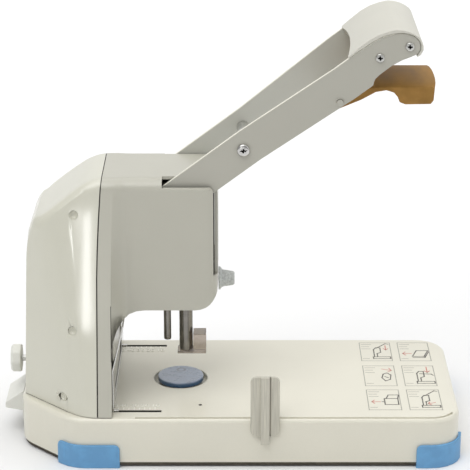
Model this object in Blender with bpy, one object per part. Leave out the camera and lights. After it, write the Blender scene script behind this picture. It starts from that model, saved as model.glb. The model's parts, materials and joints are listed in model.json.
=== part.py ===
"""Bench-top lever punch and rivet binder: cast base, sheet-metal lever, rack-driven hollow punch.

Metres, +Z up, origin under the middle of the bounding box on the table.
+X is the working front, the lever's grip and the open throat; -X is the column and its knob.
"""

import math

import bpy
import bmesh
from mathutils import Vector

# Clearances and small shared sizes
GAP = 0.0003
OVERRUN = 0.004
SLIDE_GAP = 0.0005
SCREW_STEPS = 16
HEX_SIDES = 6
ROUND_STEPS = 28
CORNER_STEPS = 3
SHARP_ANGLE = math.radians(24)
SHELL_SOLVER = "MANIFOLD"

# Base housing: plan outline, height, wall
BASE_REAR = -0.202
BASE_FRONT = 0.218
BASE_HALF = 0.099
BASE_TOP = 0.0495
BASE_BOTTOM = 0.0050
BASE_WALL = 0.0045
BASE_EDGE_ROUND = 0.0045
REAR_CHAMFER = 0.052
REAR_ROUND = 0.034
FRONT_ROUND = 0.028
ARC_STEPS = 6
GROOVE_MARGIN = 0.0045
GROOVE_Y = GROOVE_MARGIN - BASE_HALF
GROOVE_WIDTH = 0.0024
GROOVE_DEPTH = 0.0022
GROOVE_START = -0.090
GROOVE_TURN = math.radians(62)
PEG_HOLE_X = -0.029
PEG_HOLE_MARGIN = 0.0334
PEG_HOLE_Y = PEG_HOLE_MARGIN - BASE_HALF
PEG_HOLE_RADIUS = 0.0018

# Sole plate and its screws
PLATE_THICKNESS = 0.0032
PLATE_INSET = 0.0015
PLATE_SCREW_RADIUS = 0.0040
PLATE_SCREW_HEAD = 0.0010
PLATE_SCREW_SHANK = 0.0018
PLATE_POST_RADIUS = 0.0050
PLATE_SCREW_REAR_SHARE = 0.706
PLATE_SCREW_FRONT_MARGIN = 0.076
PLATE_SCREW_SIDE_MARGIN = 0.044
PLATE_SCREW_FRONT_X = BASE_FRONT - PLATE_SCREW_FRONT_MARGIN
PLATE_SCREW_Y = BASE_HALF - PLATE_SCREW_SIDE_MARGIN

# Corner feet
FOOT_SKIN = 0.0030
FOOT_SOLE = 0.0012
FOOT_HEIGHT = 0.0235
FOOT_FACE_ROUND = 0.005
REAR_FOOT_SETBACK = 0.0375
REAR_FOOT_LENGTH = 0.0595
REAR_FOOT_BREADTH = 0.0330
REAR_FOOT_START = BASE_REAR + REAR_FOOT_SETBACK
REAR_FOOT_END = REAR_FOOT_START + REAR_FOOT_LENGTH
REAR_FOOT_INNER = BASE_HALF - REAR_FOOT_BREADTH
FRONT_FOOT_LENGTH = 0.0420
FRONT_FOOT_BREADTH = 0.0290
FRONT_FOOT_START = BASE_FRONT - FRONT_FOOT_LENGTH
FRONT_FOOT_INNER = BASE_HALF - FRONT_FOOT_BREADTH

# Column and head shells
SHELL_WALL = 0.0032
SHELL_LEVELS = 9
COLUMN_SETBACK = 0.003
COLUMN_REAR = BASE_REAR + COLUMN_SETBACK
COLUMN_SEAM = -0.1255
COLUMN_FRONT = -0.112
COLUMN_MARGIN = 0.0025
COLUMN_HALF = BASE_HALF - COLUMN_MARGIN
COLUMN_LEAN_SLOPE = 0.225
COLUMN_REAR_MARGIN = 0.061
COLUMN_REAR_HALF = BASE_HALF - COLUMN_REAR_MARGIN
COLUMN_REAR_SLOPE = 0.040
COLUMN_CORNER_BLEND = 0.014
SEAM_BOW = 0.005
SEAM_BOW_START = 0.150
FLARE_LENGTH = 0.017
HEAD_HALF = 0.048
HEAD_FRONT = -0.012
HEAD_TOP = 0.2695
HEAD_BOTTOM = 0.1395
HEAD_CORNER = 0.012
TOP_EDGE_ROUND = 0.012
THROAT_ROUND = 0.030
CHIN_ROUND = 0.022
BROW_ROUND = 0.012
CHEEK_DROP = 0.0085
CHEEK_SETBACK = 0.0042
CHEEK_CORNER = 0.0050
REAR_SHOULDER = 0.200
SLOPE_START = 0.233
SLOPE_START_SHARE = 0.1905
SLOPE_END_SHARE = 0.8435
SLOPE_START_X = COLUMN_REAR + (COLUMN_SEAM - COLUMN_REAR) * SLOPE_START_SHARE
SLOPE_END_X = COLUMN_REAR + (COLUMN_SEAM - COLUMN_REAR) * SLOPE_END_SHARE
SLOPE_ROUND = 0.012
COVER_SHARES = (0.0, 0.02, 0.05, 0.09, 0.14, 0.20, 0.30, 0.45, 0.60, 0.72, 0.80, 0.86, 0.93, 1.0)
THROAT_SHARES = (0.004, 0.02, 0.06, 0.13, 0.23, 0.36, 0.52, 0.75, 1.0)
CHIN_SHARES = (0.0, 0.25, 0.48, 0.66, 0.80, 0.90, 0.97, 1.0)

# Lever: pivot, arms and swing
PIVOT_X = -0.130
PIVOT_Z = 0.190
ARM_RISE_ANGLE = math.radians(36.87)
LEVER_SWING = 0.600
ARM_HALF_WIDTH = 0.0170
ARM_THICKNESS = 0.0030
ARM_INSET = 0.0110
ARM_INNER = HEAD_HALF - ARM_INSET
ARM_SPREAD = 0.0190
ARM_BEND_START = 0.185
ARM_SLOT_CLEARANCE = 0.0016
ARM_SLOT_END = -0.0640
ARM_SLOT_FLOOR = 0.1735
ARM_LENGTH = 0.369
ARM_END_STRAIGHT = 0.077
ARM_BEND_END = ARM_LENGTH - ARM_END_STRAIGHT
ARM_TIP_LENGTH = 0.057
ARM_TIP_SHARES = ((0.0, -1.0, 1.0), (0.04, -0.87, 1.0), (0.09, -0.78, 0.99), (0.18, -0.73, 0.97),
                  (0.42, -0.72, 0.94), (0.60, -0.80, 0.84), (0.76, -0.95, 0.62), (0.87, -1.01, 0.37),
                  (0.94, -0.90, 0.11), (0.98, -0.72, -0.10), (1.0, -0.52, -0.36))

# Shaft, bushes and frame plates
SHAFT_RADIUS = 0.0070
BUSH_WALL = 0.0030
BUSH_FLANGE = 0.0018
BUSH_FLANGE_RIM = 0.0025
FRAME_INSET = 0.0090
FRAME_INNER = ARM_INNER - FRAME_INSET
FRAME_THICKNESS = 0.0030
FRAME_REAR_SHARE = 0.449
FRAME_FOOT_REAR_SHARE = 0.333
FRAME_REAR = COLUMN_REAR + (PIVOT_X - COLUMN_REAR) * FRAME_REAR_SHARE
FRAME_NOSE_SETBACK = 0.022
FRAME_FRONT = HEAD_FRONT - FRAME_NOSE_SETBACK
FRAME_FOOT_REAR = COLUMN_REAR + (PIVOT_X - COLUMN_REAR) * FRAME_FOOT_REAR_SHARE
FRAME_FOOT_SETBACK = 0.005
FRAME_FOOT_FRONT = COLUMN_FRONT - FRAME_FOOT_SETBACK
FRAME_FOOT_HALF = 0.044
FRAME_FOOT_THICKNESS = 0.0040
FRAME_TOP = 0.232
FRAME_JAW_BOTTOM = 0.146
SPRING_WIRE = 0.0011
SPRING_TURNS = 4
SPRING_POINTS = 10
SPRING_SIDES = 6

# Rack and sector
TOOTH_PITCH = 0.0062
TOOTH_ADDENDUM = 0.0013
TOOTH_DEDENDUM = 0.0020
TOOTH_PRESSURE_ANGLE = math.radians(20)
TOOTH_THICKNESS_SHARE = 0.40
TOOTH_TIP_SHARE = 0.24
PITCH_RADIUS = 0.0630
SECTOR_HALF_THICKNESS = 0.0045
SECTOR_START_ANGLE = math.radians(-9.0)
SECTOR_TEETH = 9
SECTOR_HUB_RADIUS = 0.0135
SECTOR_HUB_MARGIN = 0.5
RACK_BOTTOM = 0.1875
RACK_TEETH = 11
RACK_HALF_THICKNESS = 0.0042
RACK_BACK = -0.0570

# Punch, presser and their guides
PUNCH_X = -0.0618
PUNCH_RADIUS = 0.00365
PUNCH_BORE = 0.0023
PUNCH_TIP = 0.0910
PRESSER_X = -0.0437
PRESSER_RADIUS = 0.0066
PRESSER_BOTTOM = 0.0808
PRESSER_TOP = 0.2330
PRESSER_COLLAR_RADIUS = 0.0098
PRESSER_COLLAR_Z = 0.1920
PRESSER_COLLAR_HEIGHT = 0.0050
PRESSER_SPRING_TURNS = 7
GUIDE_BOTTOM = 0.1430
GUIDE_THICKNESS = 0.0052
UPPER_GUIDE_Z = 0.2090
UPPER_GUIDE_THICKNESS = 0.0048
GUIDE_REAR = -0.0670
PRESSER_FOOT_BOTTOM = 0.0784
PRESSER_FOOT_REAR = -0.0520
PRESSER_FOOT_FRONT = -0.0240
PRESSER_FOOT_HALF = 0.0085
PRESSER_BLOCK_REAR = -0.0366
PRESSER_BLOCK_TOP = 0.0988

# Cutting pad
PAD_X = -0.0493
PAD_RADIUS = 0.0225
PAD_TOP = 0.0525
PAD_THICKNESS = 0.0050
WELL_RADIUS = 0.0262
WELL_DEPTH = 0.0048
WELL_LIP = 0.0005
WELL_LIP_SPREAD = 3.2
WELL_BOSS_RADIUS = 0.0080
WELL_BOSS_HEIGHT = 0.0120
PAD_EDGE_SHARE = 0.125
PAD_STEPS = 48
SPINDLE_RADIUS = 0.0030

# Backstop and its carriage
BACKSTOP_X = COLUMN_FRONT
BACKSTOP_SHEET = 0.0012
BACKSTOP_MARGIN = 0.0155
BACKSTOP_HALF = BASE_HALF - BACKSTOP_MARGIN
BACKSTOP_POST = 0.0275
BACKSTOP_WINDOW = BACKSTOP_HALF - BACKSTOP_POST
BACKSTOP_SILL = 0.0560
BACKSTOP_KNEE_Z = 0.0920
BACKSTOP_KNEE_SHIFT = 0.0065
BACKSTOP_MID_Z = 0.1180
BACKSTOP_TOP = 0.1370
BACKSTOP_LEAN = 0.0105
BACKSTOP_TRAVEL = 0.036
SLOT_INSET = 0.0033
SLOT_Y = BACKSTOP_HALF - SLOT_INSET
SLOT_WIDTH = 0.0036
SLOT_START_MARGIN = 0.004
SLOT_END_MARGIN = 0.010
SLOT_START = BACKSTOP_X - SLOT_START_MARGIN
SLOT_END = BACKSTOP_X + BACKSTOP_TRAVEL + SLOT_END_MARGIN
TAB_LENGTH = 0.0060
CARRIAGE_HEIGHT = 0.0050
CARRIAGE_LENGTH = 0.0100

# Rear clamp knob
KNOB_Z = 0.0705
KNOB_RADIUS = 0.0142
KNOB_LENGTH = 0.0100
KNOB_STANDOFF = 0.0065
KNOB_REAR = COLUMN_REAR - KNOB_STANDOFF - KNOB_LENGTH
KNOB_LOBES = 8
KNOB_LOBE_DEPTH = 0.0011
KNOB_LOBE_STEPS = 6
KNOB_SHAPE_SHARES = ((0.0, 0.86), (0.20, 1.0), (0.88, 1.0), (1.0, 0.96))
STUD_RADIUS = 0.0030
STUD_GRIP = 0.005
STUD_END = FRAME_FOOT_REAR + STUD_GRIP
STUD_BLOCK_LENGTH = 0.0080
STUD_BLOCK_HALF = 0.0080
STUD_BLOCK_TOP = 0.0800

# Chip drawer
DRAWER_MARGIN = 0.0590
DRAWER_HALF = BASE_HALF - DRAWER_MARGIN
DRAWER_BOTTOM = 0.0230
DRAWER_TOP = 0.0430
DRAWER_SETBACK = 0.006
DRAWER_FRONT_END = BACKSTOP_X - DRAWER_SETBACK
DRAWER_WALL = 0.0020
PULL_REACH = 0.0188
PULL_TIP = BASE_REAR - PULL_REACH
PULL_INSET = 0.0170
PULL_HALF = DRAWER_HALF - PULL_INSET
PULL_TOP = 0.0455
PULL_LIP_TOP = 0.0325
PULL_BOTTOM = 0.0262
PULL_WALL = 0.0024

# Side fence
FENCE_X = 0.0325
FENCE_HALF_WIDTH = 0.0137
FENCE_TOP = 0.0940
FENCE_BOTTOM = 0.0340
FENCE_CORNER = 0.0050
FENCE_PLATE = 0.0030
FENCE_RIB_HALF = 0.0042
FENCE_RIB = 0.0022
FENCE_RIB_BOTTOM = 0.0258
FENCE_TONGUE = 0.0020

# Front clamp knob
FRONT_KNOB_Z = 0.1545
FRONT_KNOB_RADIUS = 0.0086
FRONT_KNOB_TIP_RADIUS = 0.0070
FRONT_KNOB_FLANGE = 0.0112
FRONT_KNOB_FLANGE_LENGTH = 0.0035
FRONT_KNOB_LENGTH = 0.0158
FRONT_KNOB_TIP = HEAD_FRONT + FRONT_KNOB_LENGTH
FRONT_KNOB_FLUTES = 12
FRONT_KNOB_FLUTE_DEPTH = 0.0006
FRONT_KNOB_FLUTE_STEPS = 4
FRONT_KNOB_EDGE = 0.0018
FRONT_KNOB_FACE_SHARE = 0.8
FRONT_STUD_RADIUS = 0.0028
FRONT_STUD_SETBACK = 0.001
FRONT_STUD_END = FRAME_FRONT + FRONT_STUD_SETBACK

# Grip and squeeze handle
GRIP_SIDE = 0.0008
GRIP_SHARES = ((-0.05, -0.70, 1.07), (0.14, -0.58, 1.13), (0.35, -0.54, 1.17), (0.54, -0.58, 1.10),
               (0.70, -0.70, 0.93), (0.80, -0.78, 0.78), (0.83, -1.12, 0.72), (0.90, -1.14, 0.52),
               (0.97, -1.02, 0.22), (1.01, -0.84, -0.04), (1.04, -0.52, -0.34))
GRIP_RIM_SHARE = 0.84
GRIP_SCOOP = 0.006
GRIP_SCOOP_STEPS = 8
GRIP_SCREW_RADIUS = 0.0041
GRIP_SCREW_HEAD = 0.0016
GRIP_SCREW_DOME_SHARES = ((1.0, 0.6), (0.5, 0.9), (0.0, 1.0))
GRIP_SCREW_REAR_SETBACK = 0.0372
GRIP_SCREW_REAR_RISE = 0.0002
GRIP_SCREW_TIP_SETBACK = 0.0096
GRIP_SCREW_TIP_RISE = -0.0074
GRIP_SCREW_REAR = (ARM_LENGTH - GRIP_SCREW_REAR_SETBACK, GRIP_SCREW_REAR_RISE)
GRIP_SCREW_TIP = (ARM_LENGTH - GRIP_SCREW_TIP_SETBACK, GRIP_SCREW_TIP_RISE)
SCREW_SHANK_RADIUS = 0.0019
SCREW_LENGTH = 0.010
CROSS_BOLT_REACH = 0.1775
CROSS_BOLT_RADIUS = 0.0035
CROSS_BOLT_HEAD = 0.0062
CROSS_BOLT_HEAD_HEIGHT = 0.0032
CROSS_BOLT_DOME_ANGLES = (1.35, 1.0, 0.6, 0.25, 0.0)
SPACER_RADIUS = 0.0060
SQUEEZE_OVERHANG = 0.0020
SQUEEZE_HALF = ARM_INNER + SQUEEZE_OVERHANG
SQUEEZE_PIN_SETBACK = 0.0908
SQUEEZE_PIN_REACH = ARM_LENGTH - SQUEEZE_PIN_SETBACK
SQUEEZE_PIN_RISE = -0.0124
SQUEEZE_PIN_PROUD = 0.0028
SQUEEZE_PIN_RADIUS = 0.0030
SQUEEZE_LENGTH = 0.0885
SQUEEZE_OUTLINE_SHARES = ((-0.062, 0.056, 0.0), (-0.079, -0.160, 0.0), (0.226, -0.032, 0.0),
                          (0.379, 0.052, 0.0), (0.490, 0.072, 0.0), (0.570, 0.046, 0.0), (0.608, 0.000, 0.0),
                          (0.630, -0.056, 0.0), (0.690, -0.080, 0.0), (0.955, -0.076, 0.0),
                          (0.982, -0.040, 0.0), (0.982, 0.096, 0.9), (0.968, 0.109, 1.0), (0.600, 0.109, 1.0),
                          (0.350, 0.104, 0.6), (0.110, 0.072, 0.1))
SQUEEZE_CROWN_SHARES = ((-1.0, 0.0), (-0.93, 0.36), (-0.72, 0.70), (-0.38, 0.93), (0.0, 1.0), (0.38, 0.93),
                        (0.72, 0.70), (0.93, 0.36), (1.0, 0.0))
SQUEEZE_CROWN = 0.0030
SQUEEZE_CROWN_OVERHANG = 1.3

# Cover screws: each deep pocket's place along the cover and its height
COVER_SCREW_SHARES = (0.716, 0.690, 0.545)
COVER_SCREW_HEIGHTS = (0.2375, 0.1305, 0.0635)
COVER_POCKET_RADIUS = 0.0042
COVER_POCKET_DEPTH = 0.0085
COVER_BOSS_RADIUS = 0.0068
COVER_BOSS_LENGTH = 0.0150


def clear_scene():
    for thing in list(bpy.data.objects):
        bpy.data.objects.remove(thing, do_unlink=True)


def make_material(name, colour, roughness, metallic=0.0, alpha=1.0):
    material = bpy.data.materials.new(name)
    material.use_nodes = True
    shader = material.node_tree.nodes["Principled BSDF"]
    shader.inputs["Base Color"].default_value = (*colour, 1.0)
    shader.inputs["Roughness"].default_value = roughness
    shader.inputs["Metallic"].default_value = metallic
    shader.inputs["Alpha"].default_value = alpha
    return material


def palette():
    """The object's finishes, in linear colour."""
    return {
        "enamel": make_material("ivory_enamel", (0.73, 0.70, 0.57), 0.35),
        "shell": make_material("stone_plastic", (0.63, 0.62, 0.52), 0.32),
        "steel": make_material("painted_steel", (0.42, 0.41, 0.36), 0.45, 0.1),
        "grip": make_material("grip_plastic", (0.76, 0.74, 0.65), 0.38),
        "amber": make_material("amber_plastic", (0.34, 0.19, 0.07), 0.35),
        "rubber": make_material("blue_rubber", (0.10, 0.26, 0.47), 0.60),
        "pad": make_material("blue_pad", (0.18, 0.27, 0.42), 0.30),
        "chrome": make_material("chrome", (0.62, 0.60, 0.57), 0.12, 1.0),
        "zinc": make_material("zinc", (0.55, 0.55, 0.53), 0.30, 1.0),
        "dark": make_material("dark_plate", (0.10, 0.085, 0.065), 0.50, 0.4),
        "knob": make_material("knob_plastic", (0.74, 0.74, 0.69), 0.40),
        "cast": make_material("cast_knob", (0.38, 0.40, 0.39), 0.55, 0.3),
        "fence": make_material("fence_plastic", (0.50, 0.48, 0.38), 0.45),
        "clear": make_material("smoked_acrylic", (0.62, 0.55, 0.46), 0.15, 0.0, 0.6),
        "bronze": make_material("bronze_bush", (0.50, 0.34, 0.15), 0.35, 1.0),
    }


def finish_mesh(bm, name, material, smooth=True):
    bmesh.ops.recalc_face_normals(bm, faces=bm.faces)
    mesh = bpy.data.meshes.new(name)
    bm.to_mesh(mesh)
    bm.free()
    if smooth:
        mesh.shade_smooth()
        mesh.set_sharp_from_angle(angle=SHARP_ANGLE)
    thing = bpy.data.objects.new(name, mesh)
    bpy.context.scene.collection.objects.link(thing)
    if material is not None:
        mesh.materials.append(material)
    return thing


def loft(name, rings, material=None, closed=False, strips=False):
    """A skin over equal rings of points; ends are capped unless the rings close on themselves."""
    bm = bmesh.new()
    rows = [[bm.verts.new(point) for point in ring] for ring in rings]
    count = len(rows[0])
    pairs = list(zip(rows, rows[1:]))
    if closed:
        pairs.append((rows[-1], rows[0]))
    for low, high in pairs:
        for i in range(count):
            j = (i + 1) % count
            bm.faces.new((low[i], low[j], high[j], high[i]))
    if not closed:
        for row in (rows[0], rows[-1]):
            cap(bm, row, strips)
    return finish_mesh(bm, name, material)


def cap(bm, row, strips):
    """Fills a ring, either as one face or as level strips across a mirrored outline."""
    if not strips:
        bm.faces.new(row)
        return
    last = len(row) - 1
    for i in range(len(row) // 2 - 1):
        bm.faces.new((row[i], row[i + 1], row[last - i - 1], row[last - i]))


def prism_z(name, outline, low, high, material=None):
    return loft(name, [[(x, y, z) for x, y in outline] for z in (low, high)], material)


def prism_y(name, outline, low, high, material=None):
    return loft(name, [[(x, y, z) for x, z in outline] for y in (low, high)], material)


def box(name, low, high, material=None):
    outline = ((low[0], low[1]), (high[0], low[1]), (high[0], high[1]), (low[0], high[1]))
    return prism_z(name, outline, low[2], high[2], material)


def circle(radius, steps):
    return [(radius * math.cos(math.tau * i / steps), radius * math.sin(math.tau * i / steps))
            for i in range(steps)]


def turned(name, profile, centre, axis, material=None, steps=ROUND_STEPS, closed=False):
    """A turned piece: (along, radius) pairs from the centre along the X, Y or Z axis."""
    rings = []
    for along, radius in profile:
        ring = []
        for a, b in circle(radius, steps):
            offset = {"X": (along, a, b), "Y": (a, along, b), "Z": (a, b, along)}[axis]
            ring.append(tuple(c + o for c, o in zip(centre, offset)))
        rings.append(ring)
    return loft(name, rings, material, closed)


def rod(name, radius, centre, axis, low, high, material=None, steps=ROUND_STEPS):
    return turned(name, ((low, radius), (high, radius)), centre, axis, material, steps)


def combine(target, other, operation, solver="EXACT"):
    """Adds or removes another closed shape; the other one stays only as a guide."""
    modifier = target.modifiers.new(operation.lower(), "BOOLEAN")
    modifier.operation = operation
    modifier.solver = solver
    modifier.object = other
    other.hide_render = True
    other.display_type = "WIRE"
    return target


def cut(target, other, solver="EXACT"):
    return combine(target, other, "DIFFERENCE", solver)


def join(target, other, solver="EXACT"):
    return combine(target, other, "UNION", solver)


def arc(centre, radius, start, end, steps):
    return [(centre[0] + radius * math.cos(start + (end - start) * i / steps),
             centre[1] + radius * math.sin(start + (end - start) * i / steps)) for i in range(steps + 1)]


def rounded_box(left, right, low, high, radius):
    """A rectangle with four round corners."""
    quarter = math.pi / 2
    points = []
    for k, (x, y) in enumerate(((right - radius, high - radius), (left + radius, high - radius),
                                (left + radius, low + radius), (right - radius, low + radius))):
        points += arc((x, y), radius, quarter * k, quarter * (k + 1), CORNER_STEPS)
    return points


def smooth_min(a, b, blend):
    """The lesser of two, rounded over where they are close."""
    h = max(blend - abs(a - b), 0.0) / blend
    return min(a, b) - h * h * blend / 4


def base_outline(grow=0):
    """The base in plan: round front corners, long chamfers with soft shoulders at the rear."""
    front = BASE_FRONT + grow
    half = BASE_HALF + grow
    rear = BASE_REAR - grow
    corner = FRONT_ROUND + grow
    shoulder = REAR_ROUND + grow
    diagonal = math.pi / 4
    spread = shoulder * math.tan(diagonal / 2)
    slant = REAR_CHAMFER + grow * (2 - math.sqrt(2))
    side_x = rear + slant + spread
    rear_y = half - slant - spread
    near = arc((front - corner, half - corner), corner, 0, math.pi / 2, ARC_STEPS)
    near += arc((side_x, half - shoulder), shoulder, math.pi / 2, math.pi / 2 + diagonal, ARC_STEPS)
    near += arc((rear + shoulder, rear_y), shoulder, math.pi - diagonal, math.pi, ARC_STEPS)
    return near + [(x, -y) for x, y in reversed(near)]


def build_base(skins):
    """The cast housing: a top skin on walls, open below, with its wells, slots and drawer bay."""
    rings = []
    for lift, inset in rounded_edge(BASE_EDGE_ROUND):
        rings.append([(x, y, BASE_TOP - lift) for x, y in base_outline(-inset)])
    rings.append([(x, y, BASE_BOTTOM) for x, y in base_outline()])
    housing = loft("base_housing", rings, skins["enamel"])
    hollow = prism_z("base_hollow", base_outline(-BASE_WALL), BASE_BOTTOM - OVERRUN, BASE_TOP - BASE_WALL)
    cut(housing, hollow)
    well_floor = BASE_TOP - WELL_DEPTH - BASE_WALL
    boss_low = BASE_TOP - WELL_DEPTH - WELL_BOSS_HEIGHT
    join(housing, rod("well_cup", WELL_RADIUS + BASE_WALL, (PAD_X, 0, 0), "Z", well_floor,
                      BASE_TOP - BASE_WALL / 2))
    join(housing, rod("well_boss", WELL_BOSS_RADIUS, (PAD_X, 0, 0), "Z", boss_low, well_floor + BASE_WALL / 2,
                      None, SCREW_STEPS))
    well = ((BASE_TOP - WELL_DEPTH, WELL_RADIUS), (BASE_TOP - WELL_LIP, WELL_RADIUS),
            (BASE_TOP + WELL_LIP, WELL_RADIUS + WELL_LIP * WELL_LIP_SPREAD))
    cut(housing, turned("pad_well", well, (PAD_X, 0, 0), "Z", None, PAD_STEPS))
    cut(housing, rod("spindle_bore", SPINDLE_RADIUS + GAP, (PAD_X, 0, 0), "Z", boss_low - OVERRUN,
                     BASE_TOP, None, SCREW_STEPS))
    for side in (-1, 1):
        y = side * SLOT_Y
        cut(housing, box("margin_slot", (SLOT_START, y - SLOT_WIDTH / 2, BASE_TOP - BASE_WALL - OVERRUN),
                         (SLOT_END, y + SLOT_WIDTH / 2, BASE_TOP + OVERRUN)))
    cut(housing, prism_z("edge_groove", groove_outline(), BASE_TOP - GROOVE_DEPTH, BASE_TOP + OVERRUN))
    cut(housing, rod("peg_hole", PEG_HOLE_RADIUS, (PEG_HOLE_X, PEG_HOLE_Y, 0), "Z",
                     BASE_TOP - BASE_WALL - OVERRUN, BASE_TOP + OVERRUN, None, SCREW_STEPS))
    reach = DRAWER_HALF + SLIDE_GAP
    cut(housing, box("drawer_bay", (BASE_REAR - OVERRUN, -reach, DRAWER_BOTTOM - SLIDE_GAP),
                     (BASE_REAR + BASE_WALL + OVERRUN, reach, DRAWER_TOP + SLIDE_GAP)))
    for x, y in plate_screw_spots():
        post = rod("plate_post", PLATE_POST_RADIUS, (x, y, 0), "Z", BASE_BOTTOM, BASE_TOP - BASE_WALL / 2,
                   None, SCREW_STEPS)
        join(housing, post)
    for x, y in plate_screw_spots():
        cut(housing, rod("post_bore", PLATE_SCREW_SHANK + GAP, (x, y, 0), "Z", BASE_BOTTOM - OVERRUN,
                         BASE_TOP - BASE_WALL - OVERRUN, None, SCREW_STEPS))
    return housing


def groove_outline():
    """The fence's groove in plan: straight along the near edge, then round the front corner."""
    centre = (BASE_FRONT - FRONT_ROUND, FRONT_ROUND - BASE_HALF)
    middle = FRONT_ROUND - GROOVE_MARGIN
    start = -math.pi / 2
    outer = arc(centre, middle + GROOVE_WIDTH / 2, start, start + GROOVE_TURN, ARC_STEPS)
    inner = arc(centre, middle - GROOVE_WIDTH / 2, start, start + GROOVE_TURN, ARC_STEPS)
    rear = [(GROOVE_START, GROOVE_Y + GROOVE_WIDTH / 2), (GROOVE_START, GROOVE_Y - GROOVE_WIDTH / 2)]
    return rear + outer + inner[::-1]


def rounded_edge(radius):
    """Lift and inset pairs that round a top edge, from the flat outwards."""
    pairs = []
    for i in range(CORNER_STEPS + 1):
        angle = math.pi / 2 * i / CORNER_STEPS
        pairs.append((radius * (1 - math.cos(angle)), radius * (1 - math.sin(angle))))
    return pairs


def plate_screw_spots():
    carriage = BACKSTOP_X - CARRIAGE_LENGTH / 2
    ends = (BASE_REAR + (carriage - BASE_REAR) * PLATE_SCREW_REAR_SHARE, PLATE_SCREW_FRONT_X)
    return [(x, y) for x in ends for y in (-PLATE_SCREW_Y, PLATE_SCREW_Y)]


def build_sole_plate(skins):
    top = BASE_BOTTOM - GAP
    low = top - PLATE_THICKNESS
    plate = prism_z("base_plate", base_outline(-PLATE_INSET), low, top, skins["dark"])
    for x, y in plate_screw_spots():
        cut(plate, rod("plate_bore", PLATE_SCREW_SHANK + GAP, (x, y, 0), "Z", low - OVERRUN, top + OVERRUN,
                       None, SCREW_STEPS))
    names = ("rear_near", "rear_far", "front_near", "front_far")
    for name, (x, y) in zip(names, plate_screw_spots()):
        head = low - GAP
        profile = ((head - PLATE_SCREW_HEAD, PLATE_SCREW_RADIUS), (head, PLATE_SCREW_RADIUS),
                   (head, PLATE_SCREW_SHANK), (head + SCREW_LENGTH, PLATE_SCREW_SHANK))
        turned("plate_screw_" + name, profile, (x, y, 0), "Z", skins["zinc"], SCREW_STEPS)


def build_feet(skins):
    """Soft corner boots: a skin round the housing's corner and a sole turned in under the plate."""
    spans = {"rear": (REAR_FOOT_START, REAR_FOOT_END, REAR_FOOT_INNER),
             "front": (FRONT_FOOT_START, BASE_FRONT + FOOT_SKIN + OVERRUN, FRONT_FOOT_INNER)}
    for end, (start, stop, inner) in spans.items():
        for side, word in ((-1, "near"), (1, "far")):
            name = "foot_" + end + "_" + word
            foot = prism_z(name, base_outline(FOOT_SKIN), 0, FOOT_HEIGHT + OVERRUN, skins["rubber"])
            outer = side * (BASE_HALF + FOOT_SKIN + OVERRUN)
            face = rounded_box(start, stop, -FOOT_FACE_ROUND, FOOT_HEIGHT, FOOT_FACE_ROUND)
            keep = prism_y("foot_block", face, *sorted((side * inner, outer)))
            combine(foot, keep, "INTERSECT", SHELL_SOLVER)
            cut(foot, prism_z("foot_inside", base_outline(GAP), FOOT_SOLE,
                              FOOT_HEIGHT + 2 * OVERRUN))


def column_top(x):
    """Height of the ridge line at one station: rear shoulder, slope, flat top, brow."""
    if x <= SLOPE_START_X:
        share = (x - COLUMN_REAR) / (SLOPE_START_X - COLUMN_REAR)
        rise = math.sqrt(max(0.0, 1 - (1 - share) ** 2))
        return REAR_SHOULDER + (SLOPE_START - REAR_SHOULDER) * rise
    slope = (HEAD_TOP - SLOPE_START) / (SLOPE_END_X - SLOPE_START_X)
    top = smooth_min(SLOPE_START + (x - SLOPE_START_X) * slope, HEAD_TOP, SLOPE_ROUND)
    depth = HEAD_FRONT - x
    if depth < BROW_ROUND:
        top -= BROW_ROUND - math.sqrt(max(0.0, BROW_ROUND ** 2 - (BROW_ROUND - depth) ** 2))
    return top


def column_bottom(x):
    """Height of the underside: the foot of the column, the throat's curve, the flat jaw, the chin."""
    if x <= COLUMN_FRONT:
        return BASE_TOP + GAP
    reach = x - COLUMN_FRONT
    if reach < THROAT_ROUND:
        share = 1 - reach / THROAT_ROUND
        return HEAD_BOTTOM - THROAT_ROUND * (1 - math.sqrt(1 - share ** 2))
    depth = HEAD_FRONT - x
    if depth < CHIN_ROUND:
        return HEAD_BOTTOM + CHIN_ROUND - math.sqrt(max(0.0, CHIN_ROUND ** 2 - (CHIN_ROUND - depth) ** 2))
    return HEAD_BOTTOM


def half_width(x, z):
    """Half the shell's breadth: leaning sides, a cut rear corner, a hollow flare into the slim head."""
    side = COLUMN_HALF - (z - BASE_TOP) * COLUMN_LEAN_SLOPE
    rear = COLUMN_REAR_HALF + (x - COLUMN_REAR)
    width = smooth_min(side, rear, COLUMN_CORNER_BLEND)
    if x > COLUMN_FRONT:
        share = min(1.0, (x - COLUMN_FRONT) / FLARE_LENGTH)
        width = HEAD_HALF + max(0.0, width - HEAD_HALF) * (1 - math.sin(share * math.pi / 2))
    width = max(width, HEAD_HALF) if x > COLUMN_REAR + HEAD_HALF else width
    depth = HEAD_FRONT - x
    if depth < HEAD_CORNER:
        width -= HEAD_CORNER - math.sqrt(max(0.0, HEAD_CORNER ** 2 - (HEAD_CORNER - depth) ** 2))
    return width


def seam_shift(x, z):
    """Rear draft of the cover and the forward bow of the seam towards the top."""
    rise = max(0.0, z - SEAM_BOW_START) / (HEAD_TOP - SEAM_BOW_START)
    bow = SEAM_BOW * rise * rise
    share = (x - COLUMN_REAR) / (COLUMN_SEAM - COLUMN_REAR)
    draft = (z - BASE_TOP) * COLUMN_REAR_SLOPE
    if share <= 1:
        return draft * (1 - share) + bow * share
    ahead = (x - COLUMN_SEAM) / (COLUMN_FRONT - COLUMN_SEAM + FLARE_LENGTH)
    return bow * max(0.0, 1 - ahead)


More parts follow.
